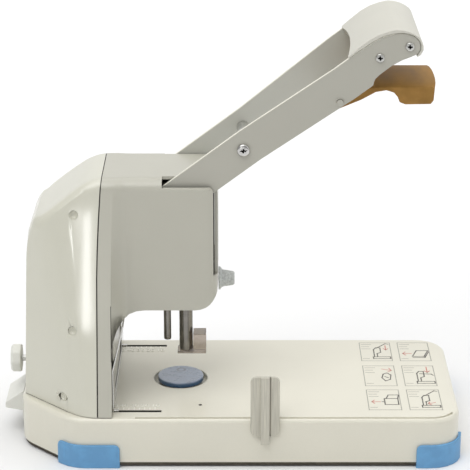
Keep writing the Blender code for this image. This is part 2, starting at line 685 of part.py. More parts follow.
def section(x, inset, low):
    """One cross ring of the shell at a station, mirrored about the middle plane."""
    top = column_top(x) - inset
    bottom = low
    corner = TOP_EDGE_ROUND - inset / 2
    side = []
    for i in range(SHELL_LEVELS):
        z = bottom + (top - corner - bottom) * i / (SHELL_LEVELS - 1)
        side.append((half_width(x, max(z, BASE_TOP)) - inset, z))
    edge_y = side[-1][0] - corner
    side += [(edge_y + corner * math.cos(a), top - corner + corner * math.sin(a))
             for a in (math.pi / 2 * k / CORNER_STEPS for k in range(1, CORNER_STEPS + 1))]
    ring = [(x + seam_shift(x, z), -y, z) for y, z in side]
    return ring + [(x + seam_shift(x, z), y, z) for y, z in reversed(side)]


def stations(start, stop, shares):
    return [start + (stop - start) * share for share in shares]


def build_rear_cover(skins):
    """The column's rear half: tapering sides, cut corners, sloped shoulder, screw pockets."""
    outer = [section(x, 0, column_bottom(x)) for x in stations(COLUMN_REAR, COLUMN_SEAM, COVER_SHARES)]
    cover = loft("rear_cover", outer, skins["shell"], strips=True)
    below = BASE_TOP - OVERRUN
    inside = stations(COLUMN_REAR + SHELL_WALL, COLUMN_SEAM + OVERRUN, COVER_SHARES)
    hollow = loft("cover_hollow", [section(x, SHELL_WALL, below) for x in inside], strips=True)
    cut(cover, hollow, SHELL_SOLVER)
    for x, z in cover_screw_spots():
        for side in (-1, 1):
            fit_cover_screw(cover, x, z, side)
    bore = rod("stud_bore", STUD_RADIUS + SLIDE_GAP, (0, 0, KNOB_Z), "X", COLUMN_REAR - OVERRUN,
               COLUMN_REAR + SHELL_WALL + OVERRUN, None, SCREW_STEPS)
    cut(cover, bore, SHELL_SOLVER)
    return cover


def cover_screw_spots():
    return list(zip(stations(COLUMN_REAR, COLUMN_SEAM, COVER_SCREW_SHARES), COVER_SCREW_HEIGHTS))


def fit_cover_screw(cover, x, z, side):
    """A boss inside the cover, bored from outside as a deep pocket that narrows to the screw's bore."""
    surface = half_width(x - seam_shift(x, z), z)
    floor = surface - COVER_POCKET_DEPTH
    root = surface - COVER_BOSS_LENGTH
    centre = (x, 0, z)
    low, high = sorted((side * root, side * (surface - SHELL_WALL)))
    boss = rod("cover_boss", COVER_BOSS_RADIUS, centre, "Y", low, high, None, SCREW_STEPS)
    join(cover, boss, SHELL_SOLVER)
    bore = SCREW_SHANK_RADIUS + GAP
    profile = ((root - OVERRUN, bore), (floor, bore), (floor, COVER_POCKET_RADIUS),
               (surface + COVER_BOSS_LENGTH, COVER_POCKET_RADIUS))
    pocket = turned("cover_pocket", [(side * y, radius) for y, radius in profile], centre, "Y", None,
                    SCREW_STEPS)
    cut(cover, pocket, SHELL_SOLVER)


def build_cover_screws(skins):
    heights = ("top", "middle", "bottom")
    for (x, z), height in zip(cover_screw_spots(), heights):
        for side, word in ((-1, "near"), (1, "far")):
            surface = half_width(x - seam_shift(x, z), z)
            seat = surface - COVER_POCKET_DEPTH + GAP
            radius = COVER_POCKET_RADIUS - GAP
            profile = ((side * (seat + GRIP_SCREW_HEAD), radius), (side * seat, radius),
                       (side * seat, SCREW_SHANK_RADIUS), (side * (seat - SCREW_LENGTH), SCREW_SHANK_RADIUS))
            turned("cover_screw_" + height + "_" + word, profile, (x, 0, z), "Y", skins["zinc"], SCREW_STEPS)


def build_head_shell(skins):
    """The column's front half and the head in one moulding, slit for the lever's two arms."""
    xs = [COLUMN_SEAM + GAP, COLUMN_FRONT]
    xs += stations(COLUMN_FRONT, COLUMN_FRONT + THROAT_ROUND, THROAT_SHARES)
    xs += stations(HEAD_FRONT - CHIN_ROUND, HEAD_FRONT, CHIN_SHARES)
    shell = loft("head_shell", [section(x, 0, column_bottom(x)) for x in xs], skins["shell"], strips=True)
    below = BASE_TOP - OVERRUN
    wall_x = COLUMN_FRONT - SHELL_WALL
    column = loft("column_hollow", [section(x, SHELL_WALL, below) for x in (COLUMN_SEAM - OVERRUN, wall_x)],
                  strips=True)
    inner = stations(wall_x - OVERRUN / 4, COLUMN_FRONT + THROAT_ROUND, THROAT_SHARES)
    inner += stations(HEAD_FRONT - CHIN_ROUND, HEAD_FRONT - SHELL_WALL, CHIN_SHARES)
    rings = [section(x, SHELL_WALL, max(column_bottom(x + SHELL_WALL),
                                        HEAD_BOTTOM - THROAT_ROUND) + SHELL_WALL) for x in inner]
    cut(shell, column, SHELL_SOLVER)
    cut(shell, loft("head_hollow", rings, strips=True), SHELL_SOLVER)
    for side in (-1, 1):
        low, high = sorted((side * (ARM_INNER - ARM_SLOT_CLEARANCE),
                            side * (ARM_INNER + ARM_THICKNESS + ARM_SLOT_CLEARANCE)))
        cut(shell, box("arm_slot", (ARM_SLOT_END, low, ARM_SLOT_FLOOR),
                       (HEAD_FRONT + OVERRUN, high, HEAD_TOP + OVERRUN)), SHELL_SOLVER)
        cheek = sorted((side * (ARM_INNER + ARM_THICKNESS), side * (HEAD_HALF + OVERRUN)))
        cut(shell, prism_y("cheek_relief", cheek_relief(), *cheek), SHELL_SOLVER)
    for x, radius in ((PUNCH_X, PUNCH_RADIUS), (PRESSER_X, PRESSER_RADIUS)):
        cut(shell, rod("rod_hole", radius + SLIDE_GAP, (x, 0, 0), "Z", HEAD_BOTTOM - OVERRUN,
                       HEAD_BOTTOM + SHELL_WALL + OVERRUN / 2), SHELL_SOLVER)
    cut(shell, rod("knob_hole", FRONT_STUD_RADIUS + SLIDE_GAP, (0, 0, FRONT_KNOB_Z), "X",
                   HEAD_FRONT - CHIN_ROUND, HEAD_FRONT + OVERRUN, None, SCREW_STEPS), SHELL_SOLVER)
    return shell


def cheek_relief():
    """What is taken off outside each arm's slot: the cheek's top is lower and its front set back."""
    front = HEAD_FRONT - CHEEK_SETBACK
    top = HEAD_TOP - CHEEK_DROP
    corner = arc((front - CHEEK_CORNER, top - CHEEK_CORNER), CHEEK_CORNER, math.pi / 2, 0, CORNER_STEPS)
    outside = HEAD_FRONT + OVERRUN
    above = HEAD_TOP + OVERRUN
    return [(ARM_SLOT_END, above), (ARM_SLOT_END, top), *corner, (front, ARM_SLOT_FLOOR),
            (outside, ARM_SLOT_FLOOR), (outside, above)]


def arm_point(reach, rise):
    """A place on the lever, measured along and square to the arm from the pivot."""
    c, s = math.cos(ARM_RISE_ANGLE), math.sin(ARM_RISE_ANGLE)
    return (PIVOT_X + reach * c - rise * s, PIVOT_Z + reach * s + rise * c)


def squeeze_pin_place():
    return arm_point(SQUEEZE_PIN_REACH, SQUEEZE_PIN_RISE)


def arm_offset(reach):
    """How far the arm has spread sideways at one reach."""
    share = (reach - ARM_BEND_START) / (ARM_BEND_END - ARM_BEND_START)
    return ARM_SPREAD * min(1.0, max(0.0, share))


def arm_edges():
    """Stations along the arm, each with its reach and its lower and upper edge."""
    rows = []
    for i in range(1, ARC_STEPS + 1):
        angle = math.pi - math.pi / 2 * i / ARC_STEPS
        rows.append((ARM_HALF_WIDTH * math.cos(angle), -ARM_HALF_WIDTH * math.sin(angle),
                     ARM_HALF_WIDTH * math.sin(angle)))
    for reach in (ARM_BEND_START, ARM_BEND_END):
        rows.append((reach, -ARM_HALF_WIDTH, ARM_HALF_WIDTH))
    return rows + arm_tip(ARM_TIP_SHARES)


def arm_tip(shares):
    """Stations of the curled end: a waist below, a drooping round nose; shares of length and half width."""
    start = ARM_LENGTH - ARM_TIP_LENGTH
    return [(start + ARM_TIP_LENGTH * along, ARM_HALF_WIDTH * low, ARM_HALF_WIDTH * high)
            for along, low, high in shares]


def arm_ring(reach, low, high, inner, thickness, side):
    """A cross ring of the sheet at one station."""
    shift = inner + arm_offset(reach)
    a, b = side * shift, side * (shift + thickness)
    (x0, z0), (x1, z1) = arm_point(reach, low), arm_point(reach, high)
    return [(x0, a, z0), (x1, a, z1), (x1, b, z1), (x0, b, z0)]


def build_arms(skins):
    """Two mirrored steel arms: an eye on the shaft, a straight run, a spread and a curled end."""
    for side, word in ((-1, "near"), (1, "far")):
        rings = [arm_ring(*row, ARM_INNER, ARM_THICKNESS, side) for row in arm_edges()]
        arm = loft("arm_" + word, rings, skins["steel"])
        low, high = sorted((side * (ARM_INNER - OVERRUN), side * (ARM_INNER + ARM_THICKNESS + OVERRUN)))
        cut(arm, rod("shaft_bore", SHAFT_RADIUS + GAP, (PIVOT_X, 0, PIVOT_Z), "Y", low, high))
        x, z = arm_point(CROSS_BOLT_REACH, 0)
        cut(arm, rod("bolt_bore", CROSS_BOLT_RADIUS + GAP, (x, 0, z), "Y", low, high, None, SCREW_STEPS))
        spread = ARM_INNER + ARM_SPREAD + ARM_THICKNESS + OVERRUN
        wide_low, wide_high = sorted((side * ARM_INNER, side * spread))
        for reach, rise in (GRIP_SCREW_REAR, GRIP_SCREW_TIP):
            x, z = arm_point(reach, rise)
            cut(arm, rod("screw_bore", SCREW_SHANK_RADIUS + GAP, (x, 0, z), "Y", wide_low, wide_high,
                         None, SCREW_STEPS))
        x, z = squeeze_pin_place()
        cut(arm, rod("pin_bore", SQUEEZE_PIN_RADIUS + GAP, (x, 0, z), "Y", wide_low, wide_high, None,
                     SCREW_STEPS))


def grip_side():
    return ARM_INNER + ARM_SPREAD + ARM_THICKNESS + GRIP_SIDE


def build_grip(skins):
    """The moulded grip: a bar between the arm ends whose rim wraps their edges."""
    rings = []
    for reach, low, high in arm_tip(GRIP_SHARES):
        (x0, z0), (x1, z1) = arm_point(reach, low), arm_point(reach, high)
        y = grip_side()
        rings.append([(x0, -y, z0), (x1, -y, z1), (x1, y, z1), (x0, y, z0)])
    grip = loft("grip", rings, skins["grip"])
    cut(grip, grip_scoop(), SHELL_SOLVER)
    rim_start = ARM_LENGTH - ARM_TIP_LENGTH * (1 - GRIP_RIM_SHARE)
    for side in (-1, 1):
        pocket = []
        for reach, low, high in arm_edges():
            if reach < ARM_BEND_START:
                continue
            room = GAP if reach > rim_start else OVERRUN
            grown = reach + (GAP if reach > rim_start else 0)
            (x0, z0), (x1, z1) = arm_point(grown, low - room), arm_point(grown, high + GAP)
            a = side * (ARM_INNER + arm_offset(reach) - GAP)
            b = side * (grip_side() + OVERRUN)
            pocket.append([(x0, a, z0), (x1, a, z1), (x1, b, z1), (x0, b, z0)])
        cut(grip, loft("arm_pocket", pocket), SHELL_SOLVER)
        for reach, rise in (GRIP_SCREW_REAR, GRIP_SCREW_TIP):
            x, z = arm_point(reach, rise)
            inner = ARM_INNER + ARM_SPREAD
            low, high = sorted((side * (inner - SCREW_LENGTH - GAP), side * (inner + OVERRUN)))
            cut(grip, rod("grip_bore", SCREW_SHANK_RADIUS + GAP, (x, 0, z), "Y", low, high, None,
                          SCREW_STEPS), SHELL_SOLVER)
    return grip


def grip_scoop():
    """The hollow across the grip's rear edge, deepest between the arms."""
    start, low, high = arm_tip(GRIP_SHARES)[0]
    half = ARM_INNER + ARM_SPREAD
    line = [(start - OVERRUN, -half), (start - OVERRUN, half)]
    for i in range(GRIP_SCOOP_STEPS + 1):
        share = 1 - 2 * i / GRIP_SCOOP_STEPS
        line.append((start + GRIP_SCOOP * (1 - share * share) - GAP, half * share))
    rings = []
    for rise in (low - OVERRUN, high + OVERRUN):
        rings.append([(arm_point(reach, rise)[0], y, arm_point(reach, rise)[1]) for reach, y in line])
    return loft("grip_scoop", rings)


def build_grip_screws(skins):
    for (reach, rise), place in ((GRIP_SCREW_REAR, "rear"), (GRIP_SCREW_TIP, "tip")):
        x, z = arm_point(reach, rise)
        for side, word in ((-1, "near"), (1, "far")):
            seat = ARM_INNER + ARM_SPREAD + ARM_THICKNESS + GAP
            end = ARM_INNER + ARM_SPREAD - SCREW_LENGTH
            profile = [(side * (seat + GRIP_SCREW_HEAD * lift), GRIP_SCREW_RADIUS * share)
                       for lift, share in GRIP_SCREW_DOME_SHARES]
            profile += [(side * seat, SCREW_SHANK_RADIUS), (side * end, SCREW_SHANK_RADIUS)]
            turned("grip_screw_" + place + "_" + word, profile, (x, 0, z), "Y", skins["zinc"], SCREW_STEPS)


def build_cross_bolt(skins):
    """The dome-headed bolt that ties the arms, its spacer tube and its nut."""
    x, z = arm_point(CROSS_BOLT_REACH, 0)
    outer = ARM_INNER + ARM_THICKNESS + GAP
    head = [(-outer - CROSS_BOLT_HEAD_HEIGHT * math.sin(a), CROSS_BOLT_HEAD * math.cos(a))
            for a in CROSS_BOLT_DOME_ANGLES]
    end = outer + CROSS_BOLT_HEAD_HEIGHT
    profile = head + [(-outer, CROSS_BOLT_RADIUS), (end, CROSS_BOLT_RADIUS)]
    turned("cross_bolt", profile, (x, 0, z), "Y", skins["chrome"], SCREW_STEPS)
    bore = CROSS_BOLT_RADIUS + GAP
    inner = ARM_INNER - GAP
    ring = ((-inner, bore), (-inner, SPACER_RADIUS), (inner, SPACER_RADIUS), (inner, bore))
    turned("cross_spacer", ring, (x, 0, z), "Y", skins["zinc"], SCREW_STEPS, True)
    corner = CROSS_BOLT_RADIUS / math.cos(math.pi / HEX_SIDES) + GAP
    nut = ((outer, corner), (outer, CROSS_BOLT_HEAD), (end - GAP, CROSS_BOLT_HEAD), (end - GAP, corner))
    turned("cross_nut", nut, (x, 0, z), "Y", skins["zinc"], HEX_SIDES, True)


def build_shaft(skins):
    """The lever's shaft and its two flanged bushes in the frame plates."""
    reach = ARM_INNER + ARM_THICKNESS + BUSH_FLANGE
    centre = (PIVOT_X, 0, PIVOT_Z)
    rod("lever_shaft", SHAFT_RADIUS, centre, "Y", -reach, reach, skins["zinc"])
    bore = SHAFT_RADIUS + GAP
    body = bore + BUSH_WALL
    outer = FRAME_INNER + FRAME_THICKNESS + GAP
    for side, word in ((-1, "near"), (1, "far")):
        profile = [(FRAME_INNER, bore), (FRAME_INNER, body), (outer, body), (outer, body + BUSH_FLANGE_RIM),
                   (outer + BUSH_FLANGE, body + BUSH_FLANGE_RIM), (outer + BUSH_FLANGE, bore)]
        turned("shaft_bush_" + word, [(side * y, r) for y, r in profile], centre, "Y", skins["bronze"],
               ROUND_STEPS, True)


def tooth_half_base():
    return TOOTH_PITCH * TOOTH_THICKNESS_SHARE / 2 + TOOTH_DEDENDUM * math.tan(TOOTH_PRESSURE_ANGLE)


def tooth_profile():
    """One tooth as (along, depth) points about the pitch line."""
    base = tooth_half_base()
    tip = TOOTH_PITCH * TOOTH_TIP_SHARE / 2
    return ((-base, -TOOTH_DEDENDUM), (-tip, TOOTH_ADDENDUM), (tip, TOOTH_ADDENDUM), (base, -TOOTH_DEDENDUM))


def build_sector(skins):
    """The toothed sector on the shaft that drives the rack."""
    root = PITCH_RADIUS - TOOTH_DEDENDUM
    step = TOOTH_PITCH / PITCH_RADIUS
    outline = []
    for k in range(SECTOR_TEETH):
        middle = SECTOR_START_ANGLE + step * k + step / 2
        for along, depth in tooth_profile():
            radius = PITCH_RADIUS + depth
            angle = middle + along / PITCH_RADIUS
            outline.append((PIVOT_X + radius * math.cos(angle), PIVOT_Z + radius * math.sin(angle)))
    last = SECTOR_START_ANGLE + step * SECTOR_TEETH
    outline.append((PIVOT_X + root * math.cos(last), PIVOT_Z + root * math.sin(last)))
    outline += arc((PIVOT_X, PIVOT_Z), SECTOR_HUB_RADIUS, last + SECTOR_HUB_MARGIN,
                   math.tau + SECTOR_START_ANGLE - SECTOR_HUB_MARGIN, ARC_STEPS * 2)
    start = SECTOR_START_ANGLE
    outline.append((PIVOT_X + root * math.cos(start), PIVOT_Z + root * math.sin(start)))
    sector = prism_y("sector_gear", outline, -SECTOR_HALF_THICKNESS, SECTOR_HALF_THICKNESS, skins["dark"])
    cut(sector, rod("sector_bore", SHAFT_RADIUS + GAP, (PIVOT_X, 0, PIVOT_Z), "Y", -SECTOR_HALF_THICKNESS
                    - OVERRUN, SECTOR_HALF_THICKNESS + OVERRUN))
    return sector


def build_punch(skins):
    """The rack bar and, below it, the hollow punch."""
    pitch_x = PIVOT_X + PITCH_RADIUS
    root_x = pitch_x + TOOTH_DEDENDUM
    first = PIVOT_Z + PITCH_RADIUS * SECTOR_START_ANGLE
    first += TOOTH_PITCH * math.ceil((RACK_BOTTOM + tooth_half_base() - first) / TOOTH_PITCH)
    outline = [(RACK_BACK, RACK_BOTTOM), (root_x, RACK_BOTTOM)]
    for k in range(RACK_TEETH):
        middle = first + TOOTH_PITCH * k
        for along, depth in tooth_profile():
            outline.append((pitch_x - depth, middle + along))
    top = first + TOOTH_PITCH * RACK_TEETH
    outline += [(root_x, top), (RACK_BACK, top)]
    rack = prism_y("punch_rack", outline, -RACK_HALF_THICKNESS, RACK_HALF_THICKNESS, skins["zinc"])
    bore = PUNCH_BORE
    profile = ((PUNCH_TIP, bore), (PUNCH_TIP, PUNCH_RADIUS - GAP), (PUNCH_TIP + PUNCH_BORE, PUNCH_RADIUS),
               (RACK_BOTTOM - GAP, PUNCH_RADIUS), (RACK_BOTTOM - GAP, bore))
    turned("hollow_punch", profile, (PUNCH_X, 0, 0), "Z", skins["chrome"], ROUND_STEPS, True)
    return rack


def build_presser(skins):
    """The sheet presser: a polished rod with a collar, its return spring and its clear foot."""
    low = PRESSER_COLLAR_Z
    high = low + PRESSER_COLLAR_HEIGHT
    profile = ((PRESSER_BOTTOM, PRESSER_RADIUS), (low, PRESSER_RADIUS), (low, PRESSER_COLLAR_RADIUS),
               (high, PRESSER_COLLAR_RADIUS), (high, PRESSER_RADIUS), (PRESSER_TOP, PRESSER_RADIUS))
    turned("presser_rod", profile, (PRESSER_X, 0, 0), "Z", skins["chrome"])
    bottom = GUIDE_BOTTOM + GUIDE_THICKNESS + GAP + SPRING_WIRE
    helix("presser_spring", (PRESSER_X, 0, bottom), PRESSER_RADIUS + SPRING_WIRE + SLIDE_GAP,
          low - GAP - SPRING_WIRE - bottom, PRESSER_SPRING_TURNS, "Z", skins["zinc"])
    plate_top = PRESSER_BOTTOM - GAP
    foot = prism_y("presser_foot", ((PRESSER_FOOT_REAR, PRESSER_FOOT_BOTTOM),
                                    (PRESSER_FOOT_FRONT, PRESSER_FOOT_BOTTOM),
                                    (PRESSER_FOOT_FRONT, PRESSER_BLOCK_TOP),
                                    (PRESSER_BLOCK_REAR, PRESSER_BLOCK_TOP),
                                    (PRESSER_BLOCK_REAR, plate_top), (PRESSER_FOOT_REAR, plate_top)),
                   -PRESSER_FOOT_HALF, PRESSER_FOOT_HALF, skins["clear"])
    return foot


def helix(name, start, radius, length, turns, axis, material):
    """An unbroken round-wire coil along Y or Z."""
    count = turns * SPRING_POINTS
    rings = []
    for i in range(count + 1):
        angle = math.tau * i / SPRING_POINTS
        along = length * i / count
        outward = Vector((math.cos(angle), math.sin(angle), 0))
        lift = Vector((0, 0, 1))
        centre = outward * radius + lift * along
        ring = []
        for a, b in circle(SPRING_WIRE, SPRING_SIDES):
            point = centre + outward * a + lift * b
            if axis == "Y":
                point = Vector((point.x, point.z, point.y))
            ring.append(tuple(Vector(start) + point))
        rings.append(ring)
    return loft(name, rings, material)


def build_guides(skins):
    """Two cross plates between the frame plates that steer the punch and the presser."""
    front = FRAME_FRONT - GAP
    half = FRAME_INNER - GAP
    low = GUIDE_BOTTOM
    lower = box("guide_lower", (GUIDE_REAR, -half, low), (front, half, low + GUIDE_THICKNESS), skins["cast"])
    cut(lower, rod("punch_bore", PUNCH_RADIUS + GAP, (PUNCH_X, 0, 0), "Z", low - OVERRUN,
                   low + GUIDE_THICKNESS + OVERRUN))
    cut(lower, rod("presser_bore", PRESSER_RADIUS + GAP, (PRESSER_X, 0, 0), "Z", low - OVERRUN,
                   low + GUIDE_THICKNESS + OVERRUN))
    low = UPPER_GUIDE_Z
    high = low + UPPER_GUIDE_THICKNESS
    rear = PIVOT_X + PITCH_RADIUS + TOOTH_DEDENDUM
    upper = box("guide_upper", (rear, -half, low), (front, half, high), skins["cast"])
    notch = RACK_HALF_THICKNESS + GAP
    cut(upper, box("rack_notch", (rear - OVERRUN, -notch, low - OVERRUN),
                   (RACK_BACK + GAP, notch, high + OVERRUN)))
    cut(upper, rod("presser_bore_upper", PRESSER_RADIUS + GAP, (PRESSER_X, 0, 0), "Z", low - OVERRUN,
                   high + OVERRUN))


def build_frame(skins):
    """The bolted frame inside the column: a foot plate and two cheek plates with forward jaws."""
    low = BASE_TOP + GAP
    top = low + FRAME_FOOT_THICKNESS
    box("frame_foot", (FRAME_FOOT_REAR, -FRAME_FOOT_HALF, low), (FRAME_FOOT_FRONT, FRAME_FOOT_HALF, top),
        skins["dark"])
    outline = ((FRAME_REAR, top + GAP), (FRAME_FOOT_FRONT, top + GAP), (FRAME_FOOT_FRONT, FRAME_JAW_BOTTOM),
               (FRAME_FRONT, FRAME_JAW_BOTTOM - FRAME_THICKNESS), (FRAME_FRONT, FRAME_TOP),
               (PIVOT_X - SECTOR_HUB_RADIUS, FRAME_TOP), (FRAME_REAR, PIVOT_Z))
    for side, word in ((-1, "near"), (1, "far")):
        low_y, high_y = sorted((side * FRAME_INNER, side * (FRAME_INNER + FRAME_THICKNESS)))
        cheek = prism_y("frame_cheek_" + word, outline, low_y, high_y, skins["steel"])
        cut(cheek, rod("cheek_bore", SHAFT_RADIUS + BUSH_WALL + 2 * GAP, (PIVOT_X, 0, PIVOT_Z), "Y",
                       low_y - OVERRUN, high_y + OVERRUN))
    start = SECTOR_HALF_THICKNESS + SPRING_WIRE + GAP
    length = FRAME_INNER - GAP - SPRING_WIRE - start
    helix("return_spring", (PIVOT_X, start, PIVOT_Z), SHAFT_RADIUS + SPRING_WIRE + SLIDE_GAP, length,
          SPRING_TURNS, "Y", skins["zinc"])


def build_pad(skins):
    """The turning cutting pad on its spindle."""
    low = PAD_TOP - PAD_THICKNESS
    rim = PAD_THICKNESS * PAD_EDGE_SHARE
    profile = ((low, PAD_RADIUS - rim), (low + rim, PAD_RADIUS), (PAD_TOP - rim, PAD_RADIUS),
               (PAD_TOP, PAD_RADIUS - rim))
    turned("cutting_pad", profile, (PAD_X, 0, 0), "Z", skins["pad"], PAD_STEPS)
    end = BASE_TOP - WELL_DEPTH - WELL_BOSS_HEIGHT - SCREW_SHANK_RADIUS
    rod("pad_spindle", SPINDLE_RADIUS, (PAD_X, 0, 0), "Z", end, low - GAP, skins["zinc"], SCREW_STEPS)


def build_backstop(skins):
    """The bent sheet that the paper's edge meets, with two tabs down to a cross carriage."""
    sheet = BACKSTOP_SHEET
    low = BASE_TOP + GAP
    line = ((BACKSTOP_X, low), (BACKSTOP_X, BACKSTOP_KNEE_Z),
            (BACKSTOP_X + BACKSTOP_KNEE_SHIFT, BACKSTOP_MID_Z), (BACKSTOP_X + BACKSTOP_LEAN, BACKSTOP_TOP))
    outline = [(x + sheet, z) for x, z in line] + [(x, z) for x, z in reversed(line)]
    outline = [(x + GAP, z) for x, z in outline]
    plate = prism_y("backstop_plate", outline, -BACKSTOP_HALF, BACKSTOP_HALF, skins["chrome"])
    cut(plate, box("backstop_window", (BACKSTOP_X - OVERRUN, -BACKSTOP_WINDOW, BACKSTOP_SILL),
                   (BACKSTOP_X + BACKSTOP_LEAN + OVERRUN, BACKSTOP_WINDOW, BACKSTOP_TOP + OVERRUN)))
    tab = SLOT_WIDTH / 2 - SLIDE_GAP
    bottom = BASE_TOP - WELL_DEPTH - BASE_WALL - SLIDE_GAP
    for side in (-1, 1):
        y = side * SLOT_Y
        join(plate, box("backstop_tab", (BACKSTOP_X + GAP, y - tab, bottom - CARRIAGE_HEIGHT),
                        (BACKSTOP_X + TAB_LENGTH, y + tab, low + sheet)))
    rear = BACKSTOP_X - CARRIAGE_LENGTH / 2
    front = rear + CARRIAGE_LENGTH + TAB_LENGTH
    carriage = box("backstop_carriage", (rear, -BACKSTOP_HALF, bottom - CARRIAGE_HEIGHT),
                   (front, BACKSTOP_HALF, bottom), skins["zinc"])
    for side in (-1, 1):
        y = side * SLOT_Y
        cut(carriage, box("tab_hole", (BACKSTOP_X, y - tab - GAP, bottom - CARRIAGE_HEIGHT - OVERRUN),
                          (BACKSTOP_X + TAB_LENGTH + GAP, y + tab + GAP, bottom + OVERRUN)))
    return plate


def lobed(radius, depth, lobes, steps):
    """A round outline with shallow finger lobes."""
    points = []
    for i in range(steps):
        angle = math.tau * i / steps
        r = radius - depth * (1 - math.cos(lobes * angle)) / 2
        points.append((r * math.cos(angle), r * math.sin(angle)))
    return points


def build_rear_knob(skins):
    """The lobed clamp knob behind the column, its stud and the block it screws into."""
    rings = []
    front = KNOB_REAR + KNOB_LENGTH
    outline = lobed(KNOB_RADIUS, KNOB_LOBE_DEPTH, KNOB_LOBES, KNOB_LOBES * KNOB_LOBE_STEPS)
    for along, scale in KNOB_SHAPE_SHARES:
        rings.append([(KNOB_REAR + KNOB_LENGTH * along, a * scale, KNOB_Z + b * scale) for a, b in outline])
    loft("rear_knob", rings, skins["knob"])
    rod("rear_stud", STUD_RADIUS, (0, 0, KNOB_Z), "X", front + GAP, STUD_END, skins["zinc"], SCREW_STEPS)
    low = BASE_TOP + FRAME_FOOT_THICKNESS + 2 * GAP
    rear = FRAME_FOOT_REAR
    block = box("stud_block", (rear, -STUD_BLOCK_HALF, low),
                (rear + STUD_BLOCK_LENGTH, STUD_BLOCK_HALF, STUD_BLOCK_TOP), skins["cast"])
    cut(block, rod("block_bore", STUD_RADIUS + GAP, (0, 0, KNOB_Z), "X", rear - OVERRUN,
                   rear + STUD_BLOCK_LENGTH + OVERRUN, None, SCREW_STEPS))


def build_drawer(skins):
    """The chip drawer under the column and the scooped pull on its face."""
    low = DRAWER_BOTTOM
    rear = BASE_REAR
    drawer = box("chip_drawer", (rear, -DRAWER_HALF, low), (DRAWER_FRONT_END, DRAWER_HALF, DRAWER_TOP),
                 skins["knob"])
    wall = DRAWER_WALL
    cut(drawer, box("drawer_hollow", (rear + wall, -DRAWER_HALF + wall, low + wall),
                    (DRAWER_FRONT_END - wall, DRAWER_HALF - wall, DRAWER_TOP + OVERRUN)))
    root = rear - GAP
    outline = ((root, PULL_TOP), (root, PULL_BOTTOM - PULL_WALL), (PULL_TIP + 2 * PULL_WALL, PULL_BOTTOM),
               (PULL_TIP, PULL_BOTTOM + PULL_WALL / 2), (PULL_TIP, PULL_LIP_TOP))
    pull = prism_y("drawer_pull", outline, -PULL_HALF, PULL_HALF, skins["knob"])
    inner = ((root - PULL_WALL, PULL_TOP - 2 * PULL_WALL), (root - PULL_WALL, PULL_BOTTOM - OVERRUN),
             (PULL_TIP + PULL_WALL, PULL_BOTTOM - OVERRUN), (PULL_TIP + PULL_WALL, PULL_LIP_TOP - PULL_WALL))
    cut(pull, prism_y("pull_scoop", inner, PULL_WALL - PULL_HALF, PULL_HALF - PULL_WALL))
    return drawer, pull


def build_fence(skins):
    """The side fence: a rounded plate with a rib, hooked over the near edge into its groove."""
    outer = -(BASE_HALF + GAP)
    face = rounded_box(FENCE_X - FENCE_HALF_WIDTH, FENCE_X + FENCE_HALF_WIDTH, FENCE_BOTTOM, FENCE_TOP,
                       FENCE_CORNER)
    fence = prism_y("side_fence", face, outer - FENCE_PLATE, outer, skins["fence"])
    rib = outer - FENCE_PLATE - FENCE_RIB
    join(fence, box("fence_rib", (FENCE_X - FENCE_RIB_HALF, rib, FENCE_RIB_BOTTOM),
                    (FENCE_X + FENCE_RIB_HALF, outer - FENCE_PLATE / 2, FENCE_TOP)))
    inner = GROOVE_Y + GROOVE_WIDTH / 2 - SLIDE_GAP
    low = BASE_TOP + GAP
    join(fence, box("fence_tongue", (FENCE_X - FENCE_HALF_WIDTH + FENCE_CORNER, outer - FENCE_PLATE / 2, low),
                    (FENCE_X + FENCE_HALF_WIDTH - FENCE_CORNER, inner, low + FENCE_TONGUE)))
    join(fence, box("fence_lip", (FENCE_X - FENCE_HALF_WIDTH + FENCE_CORNER,
                                  GROOVE_Y - GROOVE_WIDTH / 2 + SLIDE_GAP, BASE_TOP - GROOVE_DEPTH + GAP),
                    (FENCE_X + FENCE_HALF_WIDTH - FENCE_CORNER, inner, low + FENCE_TONGUE / 2)))
    return fence


def build_front_knob(skins):
    """The fluted clamp knob on the head's chin and its stud into the frame."""
    root = HEAD_FRONT + GAP
    flange = root + FRONT_KNOB_FLANGE_LENGTH
    steps = FRONT_KNOB_FLUTES * FRONT_KNOB_FLUTE_STEPS
    depth = FRONT_KNOB_FLUTE_DEPTH
    profile = ((root, FRONT_KNOB_FLANGE, 0), (flange - FRONT_KNOB_EDGE, FRONT_KNOB_FLANGE, 0),
               (flange, FRONT_KNOB_RADIUS, depth),
               (FRONT_KNOB_TIP - FRONT_KNOB_EDGE, FRONT_KNOB_TIP_RADIUS, depth),
               (FRONT_KNOB_TIP, FRONT_KNOB_TIP_RADIUS * FRONT_KNOB_FACE_SHARE, 0))
    rings = []
    for x, radius, flute in profile:
        rings.append([(x, a, FRONT_KNOB_Z + b) for a, b in lobed(radius, flute, FRONT_KNOB_FLUTES, steps)])
    loft("front_knob", rings, skins["cast"])
    rod("front_stud", FRONT_STUD_RADIUS, (0, 0, FRONT_KNOB_Z), "X", FRONT_STUD_END, root - GAP, skins["zinc"],
        SCREW_STEPS)


